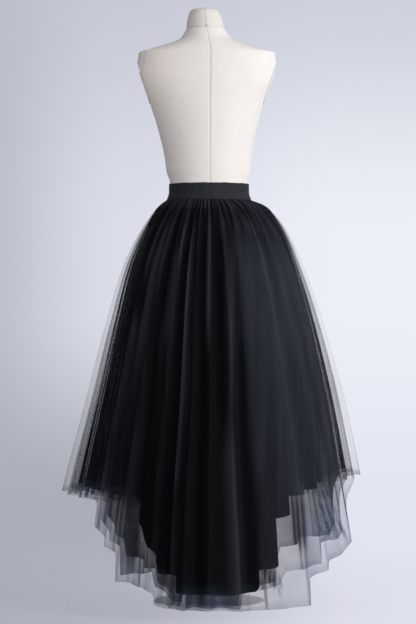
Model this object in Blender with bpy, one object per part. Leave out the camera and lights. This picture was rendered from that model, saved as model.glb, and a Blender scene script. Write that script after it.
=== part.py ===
"""A tulle skirt with a longer back, worn by a limbless dress form on a round stand.

Metres, +Z up. The origin is on the floor under the pole. The skirt's back faces -Y, its front +Y.

Every cloth layer is a thin wall. A point of it is worked out from three numbers: its angle round
the waist (0 at the centre back, 90 at +X), its drop below the waistband, and its inset, which is how
far it lies inside the outline of the outermost fold crests. Layers with growing insets can't cross.
"""

import math
from collections import namedtuple

import bmesh
import bpy
import numpy as np
from mathutils import Matrix

# ---------------------------------------------------------------- driving dimensions

SEAM_GAP = 0.0003  # between two pieces that are sewn or set together

BAND_TOP = 1.093  # height of the waistband's upper edge
BAND_HEIGHT = 0.043
BAND_WALL = 0.002
BAND_BOTTOM = BAND_TOP - BAND_HEIGHT
CLOTH_TOP = BAND_BOTTOM - SEAM_GAP  # where all the gathered layers start
CLOTH_WALL = 0.0011

BASE_RADIUS = 0.145
BASE_THICKNESS = 0.012
BASE_ROUNDING = 0.003
SOCKET_RADIUS = 0.024
SOCKET_HEIGHT = 0.045
POLE_RADIUS = 0.0125
FLANGE_RADIUS = 0.050
FLANGE_THICKNESS = 0.006

PLATE_THICKNESS = 0.003
PLATE_BEVEL = 0.0008
PLATE_HALF_HEIGHT = 0.045
PLATE_HALF_DEPTH = 0.030
PLATE_CENTRE = 1.3425  # height of the armhole plates
FLAT_AT_PLATE = 0.1592  # how far the armhole's flat is from the middle, at the plate's centre
FLAT_LEAN = math.radians(18.3)  # how much the flat leans outwards with the shoulder
SHOULDER_CENTRE = -0.0058  # where the form's middle is at the armholes, in x

FORM_STEPS = 32  # points round the form
BAND_STEPS = 64
BASE_STEPS = 40
POLE_STEPS = 20
PLATE_STEPS = 24

# ---------------------------------------------------------------- tables of the skirt

# left, right, back and front are the outline of the outer tulle's fold crests. lean is how many
# degrees an inset points down. tulle_fold and lining_fold are the folds' depths, and the last
# columns how far inside the outline each inner layer's own crests lie.
Level = namedtuple(
    "Level", "drop left right back front lean tulle_fold lining_fold middle inner lining"
)
LEVELS = (
    Level(0.000, 0.1113, 0.1113, 0.0951, 0.0951, 45, 0.0014, 0.0002, 0.0016, 0.0032, 0.0064),
    Level(0.012, 0.1270, 0.1430, 0.1120, 0.1120, 42, 0.0036, 0.0004, 0.0021, 0.0042, 0.0098),
    Level(0.035, 0.1480, 0.1700, 0.1350, 0.1350, 36, 0.0062, 0.0010, 0.0027, 0.0055, 0.0140),
    Level(0.080, 0.1780, 0.2030, 0.1650, 0.1620, 28, 0.0100, 0.0025, 0.0042, 0.0084, 0.0230),
    Level(0.160, 0.2200, 0.2420, 0.2020, 0.1940, 18, 0.0155, 0.0060, 0.0068, 0.0135, 0.0370),
    Level(0.300, 0.2640, 0.2930, 0.2450, 0.2320, 9, 0.0225, 0.0150, 0.0110, 0.0220, 0.0560),
    Level(0.520, 0.3220, 0.3540, 0.2980, 0.2760, 0, 0.0310, 0.0320, 0.0160, 0.0320, 0.0790),
    Level(0.750, 0.3830, 0.4030, 0.3480, 0.3130, 0, 0.0420, 0.0480, 0.0190, 0.0380, 0.0980),
    Level(1.030, 0.4400, 0.4580, 0.3930, 0.3400, 0, 0.0540, 0.0600, 0.0200, 0.0400, 0.1120),
)
SHARED_ROWS = LEVELS[:7]  # every layer has a row of points at these drops, and then one at its hem
GATHERS_OPEN = 0.08  # the drop by which the small gathers at the band have run into the large folds

# The gathered layers, from the outside in. inset and depth name their columns in LEVELS,
# fold_share is how much of that depth a layer's folds keep, and every is 1 for a column of points
# at each quarter of a fold or 2 for crests and valleys alone.
Layer = namedtuple("Layer", "name cloth inset depth fold_share every colour roughness")
LAYERS = (
    Layer("tulle_outer", "tulle", None, "tulle_fold", 1.00, 1, (0.030, 0.032, 0.040), 0.80),
    Layer("tulle_middle", "tulle", "middle", "tulle_fold", 0.95, 1, (0.024, 0.025, 0.032), 0.80),
    Layer("tulle_inner", "tulle", "inner", "tulle_fold", 0.90, 1, (0.020, 0.021, 0.027), 0.80),
    Layer("lining", "lining", "lining", "lining_fold", 1.00, 2, (0.008, 0.008, 0.010), 0.45),
)

# How far each layer hangs below the waistband, by angle round the waist, by straight lines between.
Hem = namedtuple("Hem", "angle drop")
HEMS = {
    "tulle_outer": (
        Hem(-90, 0.750), Hem(-83.5, 0.752), Hem(-70.5, 0.757), Hem(-60, 0.761), Hem(-52, 0.764),
        Hem(-46.6, 0.768), Hem(-45.6, 0.824), Hem(-43.2, 0.846), Hem(-39.8, 0.871), Hem(-34.4, 0.886),
        Hem(-33.2, 0.955), Hem(-25.6, 0.967), Hem(-20.3, 0.977), Hem(-19.3, 1.004), Hem(-13.3, 1.015),
        Hem(-8, 1.021), Hem(11, 1.021), Hem(20, 1.020), Hem(28, 1.016), Hem(33.8, 1.013),
        Hem(34.8, 0.948), Hem(43.6, 0.931), Hem(44.6, 0.910), Hem(52, 0.899), Hem(57.8, 0.868),
        Hem(62, 0.830), Hem(66, 0.760), Hem(71, 0.714), Hem(77, 0.710), Hem(90, 0.712),
        Hem(116, 0.741), Hem(142, 0.787), Hem(180, 0.818), Hem(218, 0.812), Hem(250, 0.774),
        Hem(270, 0.750),
    ),
    "tulle_middle": (
        Hem(-90, 0.742), Hem(-72, 0.746), Hem(-60, 0.748), Hem(-52, 0.750), Hem(-47, 0.753),
        Hem(-46, 0.806), Hem(-41, 0.856), Hem(-35, 0.872), Hem(-33.4, 0.942), Hem(-25, 0.935),
        Hem(-21.3, 0.929), Hem(-20.2, 0.966), Hem(-14.8, 0.999), Hem(-14, 1.010), Hem(10.4, 1.018),
        Hem(11.2, 0.984), Hem(25.4, 0.962), Hem(26.6, 0.932), Hem(34, 0.928), Hem(43, 0.917),
        Hem(44.4, 0.866), Hem(55, 0.860), Hem(57, 0.848), Hem(62, 0.818), Hem(66, 0.750),
        Hem(71, 0.706), Hem(77, 0.702), Hem(90, 0.705), Hem(116, 0.733), Hem(142, 0.778),
        Hem(180, 0.808), Hem(218, 0.802), Hem(250, 0.766), Hem(270, 0.742),
    ),
    "tulle_inner": (
        Hem(-90, 0.734), Hem(-72, 0.738), Hem(-60, 0.740), Hem(-52, 0.742), Hem(-47.4, 0.745),
        Hem(-46.4, 0.792), Hem(-41, 0.840), Hem(-36, 0.860), Hem(-34, 0.895), Hem(-27.4, 0.905),
        Hem(-26.6, 0.925), Hem(-21.4, 0.923), Hem(-20.3, 0.960), Hem(-14.8, 0.992), Hem(-14, 1.003),
        Hem(10.2, 1.013), Hem(11, 0.972), Hem(20, 0.962), Hem(25.2, 0.956), Hem(26.4, 0.874),
        Hem(35, 0.868), Hem(36.2, 0.852), Hem(46, 0.852), Hem(54.6, 0.853), Hem(56.4, 0.828),
        Hem(62, 0.806), Hem(66, 0.744), Hem(71, 0.699), Hem(77, 0.696), Hem(90, 0.697),
        Hem(116, 0.725), Hem(142, 0.770), Hem(180, 0.798), Hem(218, 0.790), Hem(250, 0.757),
        Hem(270, 0.734),
    ),
    "lining": (
        Hem(-90, 0.735), Hem(-72, 0.736), Hem(-60, 0.738), Hem(-48, 0.746), Hem(-41, 0.795),
        Hem(-36, 0.830), Hem(-34.2, 0.880), Hem(-30.5, 0.910), Hem(-26, 0.918), Hem(-24.9, 0.942),
        Hem(-16.9, 0.960), Hem(-15.7, 0.990), Hem(-8, 0.994), Hem(11, 0.996), Hem(16, 0.992),
        Hem(20.5, 0.986), Hem(23.6, 0.966), Hem(25.2, 0.944), Hem(30, 0.934), Hem(34, 0.918),
        Hem(35.8, 0.818), Hem(44.4, 0.790), Hem(46.2, 0.765), Hem(55, 0.752), Hem(64, 0.745),
        Hem(71, 0.735), Hem(77, 0.730), Hem(90, 0.720), Hem(116, 0.735), Hem(142, 0.755),
        Hem(180, 0.765), Hem(218, 0.760), Hem(250, 0.745), Hem(270, 0.735),
    ),
}

# The folds of a panel: each crest's angle and how far it falls short of the outline, the angle and
# depth of the valley after it, how steeply the sides leave the crest before (rise) and after it
# (fall), and how crisp the crest is, from round (0) to pressed (1). short and valley are shares of
# the fold's depth.
Fold = namedtuple("Fold", "crest short valley_angle valley rise fall crisp", defaults=(1.4, 1.4, 0.0))
Panel = namedtuple("Panel", "start end folds")
TULLE_BACK = Panel(-90.0, 90.0, (
    Fold(-83.5, 0.00, -77.0, 0.55, 1.4, 1.4, 0.5),
    Fold(-70.5, 0.00, -65.5, 0.60, 1.4, 1.4, 0.6),
    Fold(-60.0, 0.05, -53.0, 0.60, 1.4, 1.4, 0.8),
    Fold(-45.5, 0.00, -42.5, 0.40, 1.3, 1.6, 0.5),
    Fold(-39.5, 0.00, -36.5, 0.18, 1.5, 1.5, 0.8),
    Fold(-33.0, 0.02, -30.0, 0.60, 1.5, 3.0, 0.6),
    Fold(-26.0, 0.30, -24.4, 0.34, 1.2, 1.2, 0.6),
    Fold(-21.0, 0.05, -17.0, 0.80, 1.4, 2.2, 0.5),
    Fold(-13.5, 0.20, -12.1, 0.50, 2.4, 2.0, 1.0),
    Fold(-8.8, 0.20, -5.2, 0.85, 1.2, 2.6, 0.5),
    Fold(0.0, 0.30, 3.8, 0.80, 1.8, 2.0, 0.2),
    Fold(9.5, 0.05, 14.2, 0.35, 2.0, 1.6, 0.4),
    Fold(20.5, 0.12, 26.0, 0.20, 2.0, 1.4, 0.2),
    Fold(33.6, 0.04, 39.5, 0.24, 1.4, 1.6, 0.8),
    Fold(43.5, 0.05, 50.0, 0.22, 1.8, 1.3, 0.5),
    Fold(57.8, 0.00, 64.0, 0.45, 1.3, 1.6, 0.7),
    Fold(71.0, 0.00, 78.0, 0.55, 1.4, 1.4, 0.6),
    Fold(84.5, 0.00, 90.0, 0.85, 1.4, 1.4, 0.5),
))
TULLE_FRONT = Panel(90.0, 270.0, (
    Fold(96.5, 0.60, 103.0, 0.90, 1.4, 1.4, 0.5),
    Fold(110.5, 0.15, 118.0, 0.80, 1.4, 1.4, 0.5),
    Fold(125.0, 0.00, 131.5, 1.00, 1.4, 2.0, 0.8),
    Fold(138.0, 0.15, 145.0, 0.75, 1.4, 1.4, 0.4),
    Fold(152.0, 0.00, 160.5, 0.95, 2.0, 1.4, 0.7),
    Fold(168.0, 0.05, 174.0, 0.85, 1.4, 1.8, 0.5),
    Fold(181.0, 0.12, 188.0, 0.70, 1.4, 1.4, 0.3),
    Fold(194.0, 0.00, 202.0, 0.90, 1.8, 1.4, 0.6),
    Fold(209.0, 0.08, 216.5, 1.00, 1.4, 2.2, 0.7),
    Fold(224.0, 0.00, 232.5, 0.80, 1.4, 1.4, 0.5),
    Fold(240.0, 0.10, 247.0, 0.95, 1.4, 1.4, 0.7),
    Fold(253.0, 0.30, 259.0, 0.90, 1.4, 1.4, 0.6),
    Fold(264.0, 0.62, 270.0, 0.85, 1.4, 1.4, 0.5),
))
LINING_BACK = Panel(-90.0, 90.0, (
    Fold(-80.0, 0.00, -72.5, 0.85),
    Fold(-65.0, 0.10, -57.5, 0.90),
    Fold(-50.0, 0.00, -43.5, 1.00),
    Fold(-37.0, 0.15, -31.0, 0.90),
    Fold(-25.5, 0.00, -20.0, 1.00),
    Fold(-14.5, 0.00, -6.0, 0.20),
    Fold(3.0, 0.05, 12.0, 0.20),
    Fold(21.5, 0.00, 26.5, 1.00),
    Fold(31.5, 0.00, 36.0, 0.95),
    Fold(41.0, 0.00, 47.5, 1.00),
    Fold(54.0, 0.15, 60.5, 0.85),
    Fold(67.0, 0.00, 73.0, 0.90),
    Fold(79.0, 0.00, 90.0, 0.85),
))
LINING_FRONT = Panel(90.0, 270.0, (
    Fold(103.0, 0.00, 112.0, 0.90),
    Fold(121.0, 0.10, 130.0, 0.80),
    Fold(139.0, 0.00, 148.5, 0.95),
    Fold(158.0, 0.10, 167.5, 0.80),
    Fold(177.0, 0.00, 187.0, 0.90),
    Fold(197.0, 0.12, 207.0, 0.85),
    Fold(217.0, 0.00, 227.0, 0.95),
    Fold(237.0, 0.10, 246.0, 0.85),
    Fold(255.0, 0.00, 270.0, 0.85),
))
PANELS = {
    "tulle": {"back": TULLE_BACK, "front": TULLE_FRONT},
    "lining": {"back": LINING_BACK, "front": LINING_FRONT},
}
SEAM_SHARE = 0.85  # the side seams lie in a valley of this depth
GATHER_CREST, GATHER_VALLEY = 0.0, 1.0

# ---------------------------------------------------------------- tables of the dress form

# Sections of the dress form, which leans a little to the left: centre is where its middle is, in x.
# Where has_flat is True, the armhole's flat cuts the sides off.
Section = namedtuple("Section", "height centre half_width back front has_flat")
TORSO = (
    Section(0.7900, 0.0, 0.1500, 0.1080, 0.1120, False),
    Section(0.7980, 0.0, 0.1600, 0.1180, 0.1220, False),
    Section(0.8600, 0.0, 0.1620, 0.1200, 0.1220, False),
    Section(0.9400, 0.0, 0.1430, 0.1090, 0.1110, False),
    Section(1.0200, 0.0, 0.1100, 0.0905, 0.0920, False),
    Section(1.0480, 0.0, 0.1022, 0.0859, 0.0859, False),
    Section(1.0930, 0.0, 0.1011, 0.0853, 0.0853, False),
    Section(1.1050, -0.0004, 0.1030, 0.0856, 0.0856, False),
    Section(1.1200, -0.0010, 0.1083, 0.0868, 0.0890, False),
    Section(1.1600, -0.0026, 0.1125, 0.0900, 0.0980, False),
    Section(1.2300, -0.0040, 0.1273, 0.0950, 0.1180, False),
    Section(1.2800, -0.0054, 0.1410, 0.0980, 0.1260, False),
    Section(1.3000, SHOULDER_CENTRE, 0.1480, 0.0986, 0.1220, True),
    Section(1.3200, SHOULDER_CENTRE, 0.1590, 0.0990, 0.1180, True),
    Section(1.3500, SHOULDER_CENTRE, 0.1760, 0.0990, 0.1080, True),
    Section(1.3850, SHOULDER_CENTRE, 0.1860, 0.0960, 0.0960, True),
    Section(1.4150, SHOULDER_CENTRE, 0.1794, 0.0905, 0.0870, False),
    Section(1.4335, SHOULDER_CENTRE, 0.1768, 0.0845, 0.0790, False),
    Section(1.4435, -0.0056, 0.1468, 0.0800, 0.0740, False),
    Section(1.4545, -0.0058, 0.1092, 0.0745, 0.0690, False),
    Section(1.4690, -0.0070, 0.0700, 0.0665, 0.0620, False),
    Section(1.4950, -0.0092, 0.0497, 0.0540, 0.0510, False),
)
NECK = (
    Section(1.4953, -0.0092, 0.0490, 0.0530, 0.0500, False),
    Section(1.5080, -0.0104, 0.0474, 0.0500, 0.0480, False),
    Section(1.5360, -0.0116, 0.0398, 0.0445, 0.0435, False),
    Section(1.5455, -0.0118, 0.0320, 0.0360, 0.0350, False),
    Section(1.5480, -0.0118, 0.0200, 0.0240, 0.0230, False),
)

# The waistband's sections, from its upper edge down: its outside, which the gathers push out below.
BandSection = namedtuple("BandSection", "share_of_height half_width half_depth")
BAND_SECTIONS = (
    BandSection(0.00, 0.1040, 0.0880),
    BandSection(0.55, 0.1046, 0.0886),
    BandSection(1.00, 0.1108, 0.0946),
)

# ---------------------------------------------------------------- materials and meshes


def clear_scene():
    """Remove what Blender starts with."""
    for thing in list(bpy.data.objects):
        bpy.data.objects.remove(thing, do_unlink=True)


def material(name, colour, roughness, metallic=0.0):
    """A Principled material of one colour."""
    made = bpy.data.materials.new(name)
    made.use_nodes = True
    shader = made.node_tree.nodes["Principled BSDF"]
    shader.inputs["Base Color"].default_value = (*colour, 1.0)
    shader.inputs["Roughness"].default_value = roughness
    shader.inputs["Metallic"].default_value = metallic
    made.diffuse_color = (*colour, 1.0)
    return made


def add_object(name, bm, finish, sharp_angle=None):
    """Put a bmesh into the scene as one named node, with its faces turned outwards."""
    bmesh.ops.recalc_face_normals(bm, faces=bm.faces)
    mesh = bpy.data.meshes.new(name)
    bm.to_mesh(mesh)
    bm.free()
    mesh.materials.append(finish)
    if sharp_angle is not None:
        mesh.shade_smooth()
        mesh.set_sharp_from_angle(angle=math.radians(sharp_angle))
    made = bpy.data.objects.new(name, mesh)
    bpy.context.scene.collection.objects.link(made)
    return made


def grid_faces(bm, grid, wrap=False):
    """Two triangles in each cell of a grid of vertices, all split the same way, so that nested
    layers match. wrap joins the last column to the first."""
    columns = len(grid[0])
    for upper, lower in zip(grid, grid[1:]):
        for i in range(columns if wrap else columns - 1):
            j = (i + 1) % columns
            bm.faces.new((upper[i], upper[j], lower[j]))
            bm.faces.new((upper[i], lower[j], lower[i]))


def grid_vertices(bm, points):
    """Vertices for an array of points, rows by columns by 3."""
    return [[bm.verts.new(point) for point in row] for row in points]


def wall(outside, inside, wrap=False):
    """A closed wall between two grids of points, with its rims."""
    bm = bmesh.new()
    outer = grid_vertices(bm, outside)
    inner = grid_vertices(bm, inside)
    grid_faces(bm, outer, wrap)
    grid_faces(bm, inner, wrap)
    for row in (0, -1):
        grid_faces(bm, [outer[row], inner[row]], wrap)
    if not wrap:
        for end in (0, -1):
            grid_faces(bm, [[row[end] for row in outer], [row[end] for row in inner]])
    return bm


def solid_of_rings(rings):
    """A closed solid through rings of points, with a fan of triangles at each end."""
    bm = bmesh.new()
    grid = grid_vertices(bm, rings)
    grid_faces(bm, grid, wrap=True)
    for ring, points in ((grid[0], rings[0]), (grid[-1], rings[-1])):
        middle = bm.verts.new(np.mean(points, axis=0))
        for i, vertex in enumerate(ring):
            bm.faces.new((vertex, ring[(i + 1) % len(ring)], middle))
    return bm


# ---------------------------------------------------------------- the skirt's shape


def at_drop(column, drop):
    """A column of LEVELS at any drop below the waistband, by straight lines between its rows."""
    return np.interp(drop, [level.drop for level in LEVELS], [getattr(level, column) for level in LEVELS])


def round_the_waist(angle, inset, drop):
    """The point at an angle, an inset and a drop. Each quarter of the outline is part of an ellipse,
    and an inset points inwards and, near the waistband, also down."""
    across = np.sin(np.radians(angle))
    along = -np.cos(np.radians(angle))
    half_width = np.where(across < 0, at_drop("left", drop), at_drop("right", drop))
    half_depth = np.where(along < 0, at_drop("back", drop), at_drop("front", drop))
    lean = np.radians(at_drop("lean", drop))
    inwards = inset * np.cos(lean)
    height = CLOTH_TOP - drop - inset * np.sin(lean)
    return np.stack([(half_width - inwards) * across, (half_depth - inwards) * along, height], axis=-1)


def half_way(steepness, crisp):
    """How much of a fold's depth is reached half way from its crest to its valley: half of it on a
    round crest, and 1 - 0.5^steepness on a pressed one."""
    pressed = 1.0 - 0.5**steepness
    return 0.5 + crisp * (pressed - 0.5)


def fold_columns(panel, every):
    """A panel's columns of points from seam to seam, four to a fold.

    Returns their angles, their shares of the fold's depth, and their shares of the small gathers'
    depth, of which there are two to a fold.
    """
    angles = [panel.start]
    shares = [SEAM_SHARE]
    gathers = [GATHER_CREST]
    for fold in panel.folds:
        before = shares[-1]
        valley = SEAM_SHARE if fold.valley_angle == panel.end else fold.valley
        angles += [
            (angles[-1] + fold.crest) / 2, fold.crest, (fold.crest + fold.valley_angle) / 2, fold.valley_angle
        ]
        rise = fold.short + half_way(fold.rise, fold.crisp) * (before - fold.short)
        fall = fold.short + half_way(fold.fall, fold.crisp) * (valley - fold.short)
        shares += [rise, fold.short, fall, valley]
        gathers += [GATHER_VALLEY, GATHER_CREST, GATHER_VALLEY, GATHER_CREST]
    return np.array(angles[::every]), np.array(shares[::every]), np.array(gathers[::every])


def layer_inset(layer, shares, gathers, drop):
    """A layer's inset: its place in the stack, and its gathers, which run into the large folds."""
    opened = np.minimum(drop / GATHERS_OPEN, 1.0)
    mixed = gathers * (1.0 - opened) + shares * opened
    kept = 1.0 - (1.0 - layer.fold_share) * opened
    stacked = at_drop(layer.inset, drop) if layer.inset else 0.0
    return stacked + at_drop(layer.depth, drop) * kept * mixed


def wall_inset(angles, inset, drop):
    """How far in the wall's inside lies, more on a fold's steep flank than on its crest."""
    across = at_drop("back", drop)[:, None] * np.radians(np.gradient(angles))[None, :]
    slope = np.gradient(inset, axis=1) / across
    return CLOTH_WALL * np.sqrt(1.0 + slope**2)


def cloth_panel(layer, side, finish):
    """The front or back panel of one gathered layer, as a closed wall."""
    panel = PANELS[layer.cloth][side]
    angles, shares, gathers = fold_columns(panel, layer.every)
    hem = np.interp(angles, *zip(*HEMS[layer.name]))
    shared = np.array([level.drop for level in SHARED_ROWS])
    drop = np.vstack([np.repeat(shared[:, None], len(angles), axis=1), hem])
    inset = layer_inset(layer, shares, gathers, drop)
    thickness = wall_inset(angles, inset, drop.mean(axis=1))
    outside = round_the_waist(angles, inset, drop)
    inside = round_the_waist(angles, inset + thickness, drop)
    towards_panel = -1.0 if side == "back" else 1.0
    for points in (outside, inside):  # both ends step back from the side seams' plane, Y = 0
        points[:, [0, -1], 1] = towards_panel * SEAM_GAP / 2
    return add_object(f"{layer.name}_{side}", wall(outside, inside), finish)


def waistband():
    """The elastic waistband: a ring that flares a little towards the gathers."""
    angles = np.linspace(0.0, 2 * math.pi, BAND_STEPS, endpoint=False)

    def rings(inset):
        return np.array([
            np.stack([
                (section.half_width - inset) * np.sin(angles),
                -(section.half_depth - inset) * np.cos(angles),
                np.full(BAND_STEPS, BAND_TOP - section.share_of_height * BAND_HEIGHT),
            ], axis=-1)
            for section in BAND_SECTIONS
        ])

    elastic = material("black elastic", (0.016, 0.017, 0.020), 0.70)
    return add_object("waistband", wall(rings(0.0), rings(BAND_WALL), wrap=True), elastic, 40)


def skirt():
    """The waistband, and a front and a back panel of each gathered layer."""
    waistband()
    for layer in LAYERS:
        finish = material(f"black {layer.name}", layer.colour, layer.roughness)
        for side in PANELS[layer.cloth]:
            cloth_panel(layer, side, finish)


# ---------------------------------------------------------------- the dress form and its stand


def armhole_flat(height):
    """How far the armhole's flat is from the form's middle at a height."""
    return FLAT_AT_PLATE + (height - PLATE_CENTRE) * math.tan(FLAT_LEAN)


def form_ring(section):
    """One section of the form: an ellipse, deeper at the front, cut flat where the armholes are."""
    angles = np.linspace(0.0, 2 * math.pi, FORM_STEPS, endpoint=False)
    limit = armhole_flat(section.height) if section.has_flat else section.half_width
    across = np.clip(section.half_width * np.sin(angles), -limit, limit)
    depth = np.where(np.cos(angles) > 0, section.back, section.front)
    height = np.full(FORM_STEPS, section.height)
    return np.stack([section.centre + across, -depth * np.cos(angles), height], axis=-1)


def arm_plate(side, name, finish):
    """An oval plate on an armhole's flat, its back face SEAM_GAP off the form."""
    bm = bmesh.new()
    bmesh.ops.create_cone(
        bm, cap_ends=True, segments=PLATE_STEPS, radius1=1.0, radius2=1.0, depth=PLATE_THICKNESS
    )
    to_oval = Matrix.Diagonal((PLATE_HALF_HEIGHT, PLATE_HALF_DEPTH, 1.0, 1.0))
    face_out = Matrix.Rotation(math.radians(90.0), 4, "Y")
    lean = Matrix.Rotation(FLAT_LEAN, 4, "Y")
    bmesh.ops.transform(bm, matrix=lean @ face_out @ to_oval, verts=bm.verts)
    rim = [edge for edge in bm.edges if edge.calc_face_angle() > math.radians(60.0)]
    bmesh.ops.bevel(bm, geom=rim, offset=PLATE_BEVEL, segments=1, affect="EDGES", profile=0.5)
    off = (SEAM_GAP + PLATE_THICKNESS / 2) / math.cos(FLAT_LEAN)
    bmesh.ops.translate(bm, vec=(armhole_flat(PLATE_CENTRE) + off, 0.0, PLATE_CENTRE), verts=bm.verts)
    if side < 0:
        bmesh.ops.scale(bm, vec=(-1.0, 1.0, 1.0), verts=bm.verts)
    bmesh.ops.translate(bm, vec=(SHOULDER_CENTRE, 0.0, 0.0), verts=bm.verts)
    return add_object(name, bm, finish, 40)


def dress_form():
    """The torso from the hips to the shoulders, the neck and the two armhole plates."""
    canvas = material("cream canvas", (0.80, 0.77, 0.73), 0.85)
    add_object("form_torso", solid_of_rings([form_ring(section) for section in TORSO]), canvas, 60)
    add_object("form_neck", solid_of_rings([form_ring(section) for section in NECK]), canvas, 60)
    arm_plate(-1, "arm_plate_left", canvas)
    arm_plate(1, "arm_plate_right", canvas)


def turned(profile, steps):
    """A solid turned round the pole's axis from a profile of (radius, height) pairs."""
    angles = np.linspace(0.0, 2 * math.pi, steps, endpoint=False)
    rings = [
        np.stack([radius * np.cos(angles), radius * np.sin(angles), np.full(steps, height)], axis=-1)
        for radius, height in profile
    ]
    return solid_of_rings(rings)


def stand():
    """The round base with its socket, and the pole with the flange that carries the form."""
    enamel = material("grey enamel", (0.50, 0.51, 0.55), 0.35)
    bore = POLE_RADIUS + SEAM_GAP
    add_object("stand_base", turned((
        (BASE_RADIUS - BASE_ROUNDING, 0.0),
        (BASE_RADIUS, BASE_ROUNDING),
        (BASE_RADIUS, BASE_THICKNESS - BASE_ROUNDING),
        (BASE_RADIUS - BASE_ROUNDING, BASE_THICKNESS),
        (SOCKET_RADIUS, BASE_THICKNESS),
        (SOCKET_RADIUS, SOCKET_HEIGHT - BASE_ROUNDING),
        (SOCKET_RADIUS - BASE_ROUNDING, SOCKET_HEIGHT),
        (bore, SOCKET_HEIGHT),
        (bore, BASE_THICKNESS),
    ), BASE_STEPS), enamel, 40)
    flange_top = TORSO[0].height - SEAM_GAP
    flange_foot = flange_top - FLANGE_THICKNESS
    add_object("stand_pole", turned((
        (POLE_RADIUS, BASE_THICKNESS + SEAM_GAP),
        (POLE_RADIUS, flange_foot),
        (FLANGE_RADIUS, flange_foot),
        (FLANGE_RADIUS, flange_top),
    ), POLE_STEPS), enamel, 40)


clear_scene()
skirt()
dress_form()
stand()
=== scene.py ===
"""The looks of a long gathered tulle skirt on a limbless dress form with a round stand.

Metres, +Z up, the same frame as the solids. The skirt's back faces -Y. A point of the cloth is worked
out from its angle round the waist (0 at the centre back, 90 at +X), its drop below the waistband, and
its inset, which is how far it lies inside the outline of the outermost fold crests.
"""

import logging
import math
from collections.abc import Callable, Sequence
from dataclasses import dataclass
from enum import Enum
from typing import ClassVar, NamedTuple, TypeVar

import bpy
import numpy as np
from bpy.types import ID, Material, Node, NodeOutputs, NodeSocket, NodeTree, Object
from numpy import ndarray
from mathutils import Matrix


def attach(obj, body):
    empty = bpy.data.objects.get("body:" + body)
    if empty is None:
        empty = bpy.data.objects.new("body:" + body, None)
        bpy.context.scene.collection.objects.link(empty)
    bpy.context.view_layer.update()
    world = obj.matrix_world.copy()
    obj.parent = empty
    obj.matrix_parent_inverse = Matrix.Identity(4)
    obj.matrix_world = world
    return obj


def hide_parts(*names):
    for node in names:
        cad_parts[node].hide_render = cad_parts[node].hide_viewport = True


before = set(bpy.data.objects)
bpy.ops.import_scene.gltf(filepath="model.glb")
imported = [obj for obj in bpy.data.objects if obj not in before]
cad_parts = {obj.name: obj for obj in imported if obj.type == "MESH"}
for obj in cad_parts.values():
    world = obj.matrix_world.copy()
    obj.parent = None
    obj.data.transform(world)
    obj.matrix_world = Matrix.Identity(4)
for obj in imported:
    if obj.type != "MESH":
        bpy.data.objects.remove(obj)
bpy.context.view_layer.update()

LOG = logging.getLogger("tulle_skirt")
ROOT_BODY = "root"

Span = tuple[float, float]
Colour = tuple[float, float, float]
Row = TypeVar("Row")


def table(kind: type[Row], *rows: Sequence[object]) -> tuple[Row, ...]:
    """Make plain rows of values into a table of one kind of row."""
    return tuple(kind(*row) for row in rows)


# ---------------------------------------------------------------- sizes shared with the solids

SEAM_GAP = 0.0003  # between two pieces that are sewn or set together
BAND_TOP = 1.093  # height of the waistband's upper edge
BAND_HEIGHT = 0.043
BAND_WALL = 0.002
CLOTH_TOP = BAND_TOP - BAND_HEIGHT - SEAM_GAP  # where the gathered layers start


class Level(NamedTuple):
    """The skirt's outline and folds at one drop. Lengths in metres, lean in degrees."""

    drop: float
    left: float
    right: float
    back: float
    front: float
    lean: float
    tulle_fold: float
    lining_fold: float
    middle: float
    inner: float
    lining: float


LEVELS = table(
    Level,
    (0.000, 0.1113, 0.1113, 0.0951, 0.0951, 45, 0.0014, 0.0002, 0.0016, 0.0032, 0.0064),
    (0.012, 0.1270, 0.1430, 0.1120, 0.1120, 42, 0.0036, 0.0004, 0.0021, 0.0042, 0.0098),
    (0.035, 0.1480, 0.1700, 0.1350, 0.1350, 36, 0.0062, 0.0010, 0.0027, 0.0055, 0.0140),
    (0.080, 0.1780, 0.2030, 0.1650, 0.1620, 28, 0.0100, 0.0025, 0.0042, 0.0084, 0.0230),
    (0.160, 0.2200, 0.2420, 0.2020, 0.1940, 18, 0.0155, 0.0060, 0.0068, 0.0135, 0.0370),
    (0.300, 0.2640, 0.2930, 0.2450, 0.2320, 9, 0.0225, 0.0150, 0.0110, 0.0220, 0.0560),
    (0.520, 0.3220, 0.3540, 0.2980, 0.2760, 0, 0.0310, 0.0320, 0.0160, 0.0320, 0.0790),
    (0.750, 0.3830, 0.4030, 0.3480, 0.3130, 0, 0.0420, 0.0480, 0.0190, 0.0380, 0.0980),
    (1.030, 0.4400, 0.4580, 0.3930, 0.3400, 0, 0.0540, 0.0600, 0.0200, 0.0400, 0.1120),
)
GATHERS_OPEN = 0.08  # the drop by which the small gathers have run into the folds


class Side(Enum):
    """The two panels of a layer, which meet in the side seams."""

    BACK = "back"
    FRONT = "front"


class Fold(NamedTuple):
    """A fold: its crest's angle, how far the crest falls short of the outline, the angle and depth of
    the valley after it, how steeply its sides leave the crest before (rise) and after it (fall), how
    crisp the crest is, from round (0) to pressed (1), and how much light the fold gets below the
    gathers, painted into the net's colour as shade. Above 1 the pressed crest gets a painted highlight.
    short and valley are shares of the fold's depth."""

    crest: float
    short: float
    valley_angle: float
    valley: float
    rise: float = 1.4
    fall: float = 1.4
    crisp: float = 0.5
    lit: float = 1.0


class Panel(NamedTuple):
    """The folds of a panel between two side seams, by angle."""

    start: float
    end: float
    folds: tuple[Fold, ...]


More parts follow.
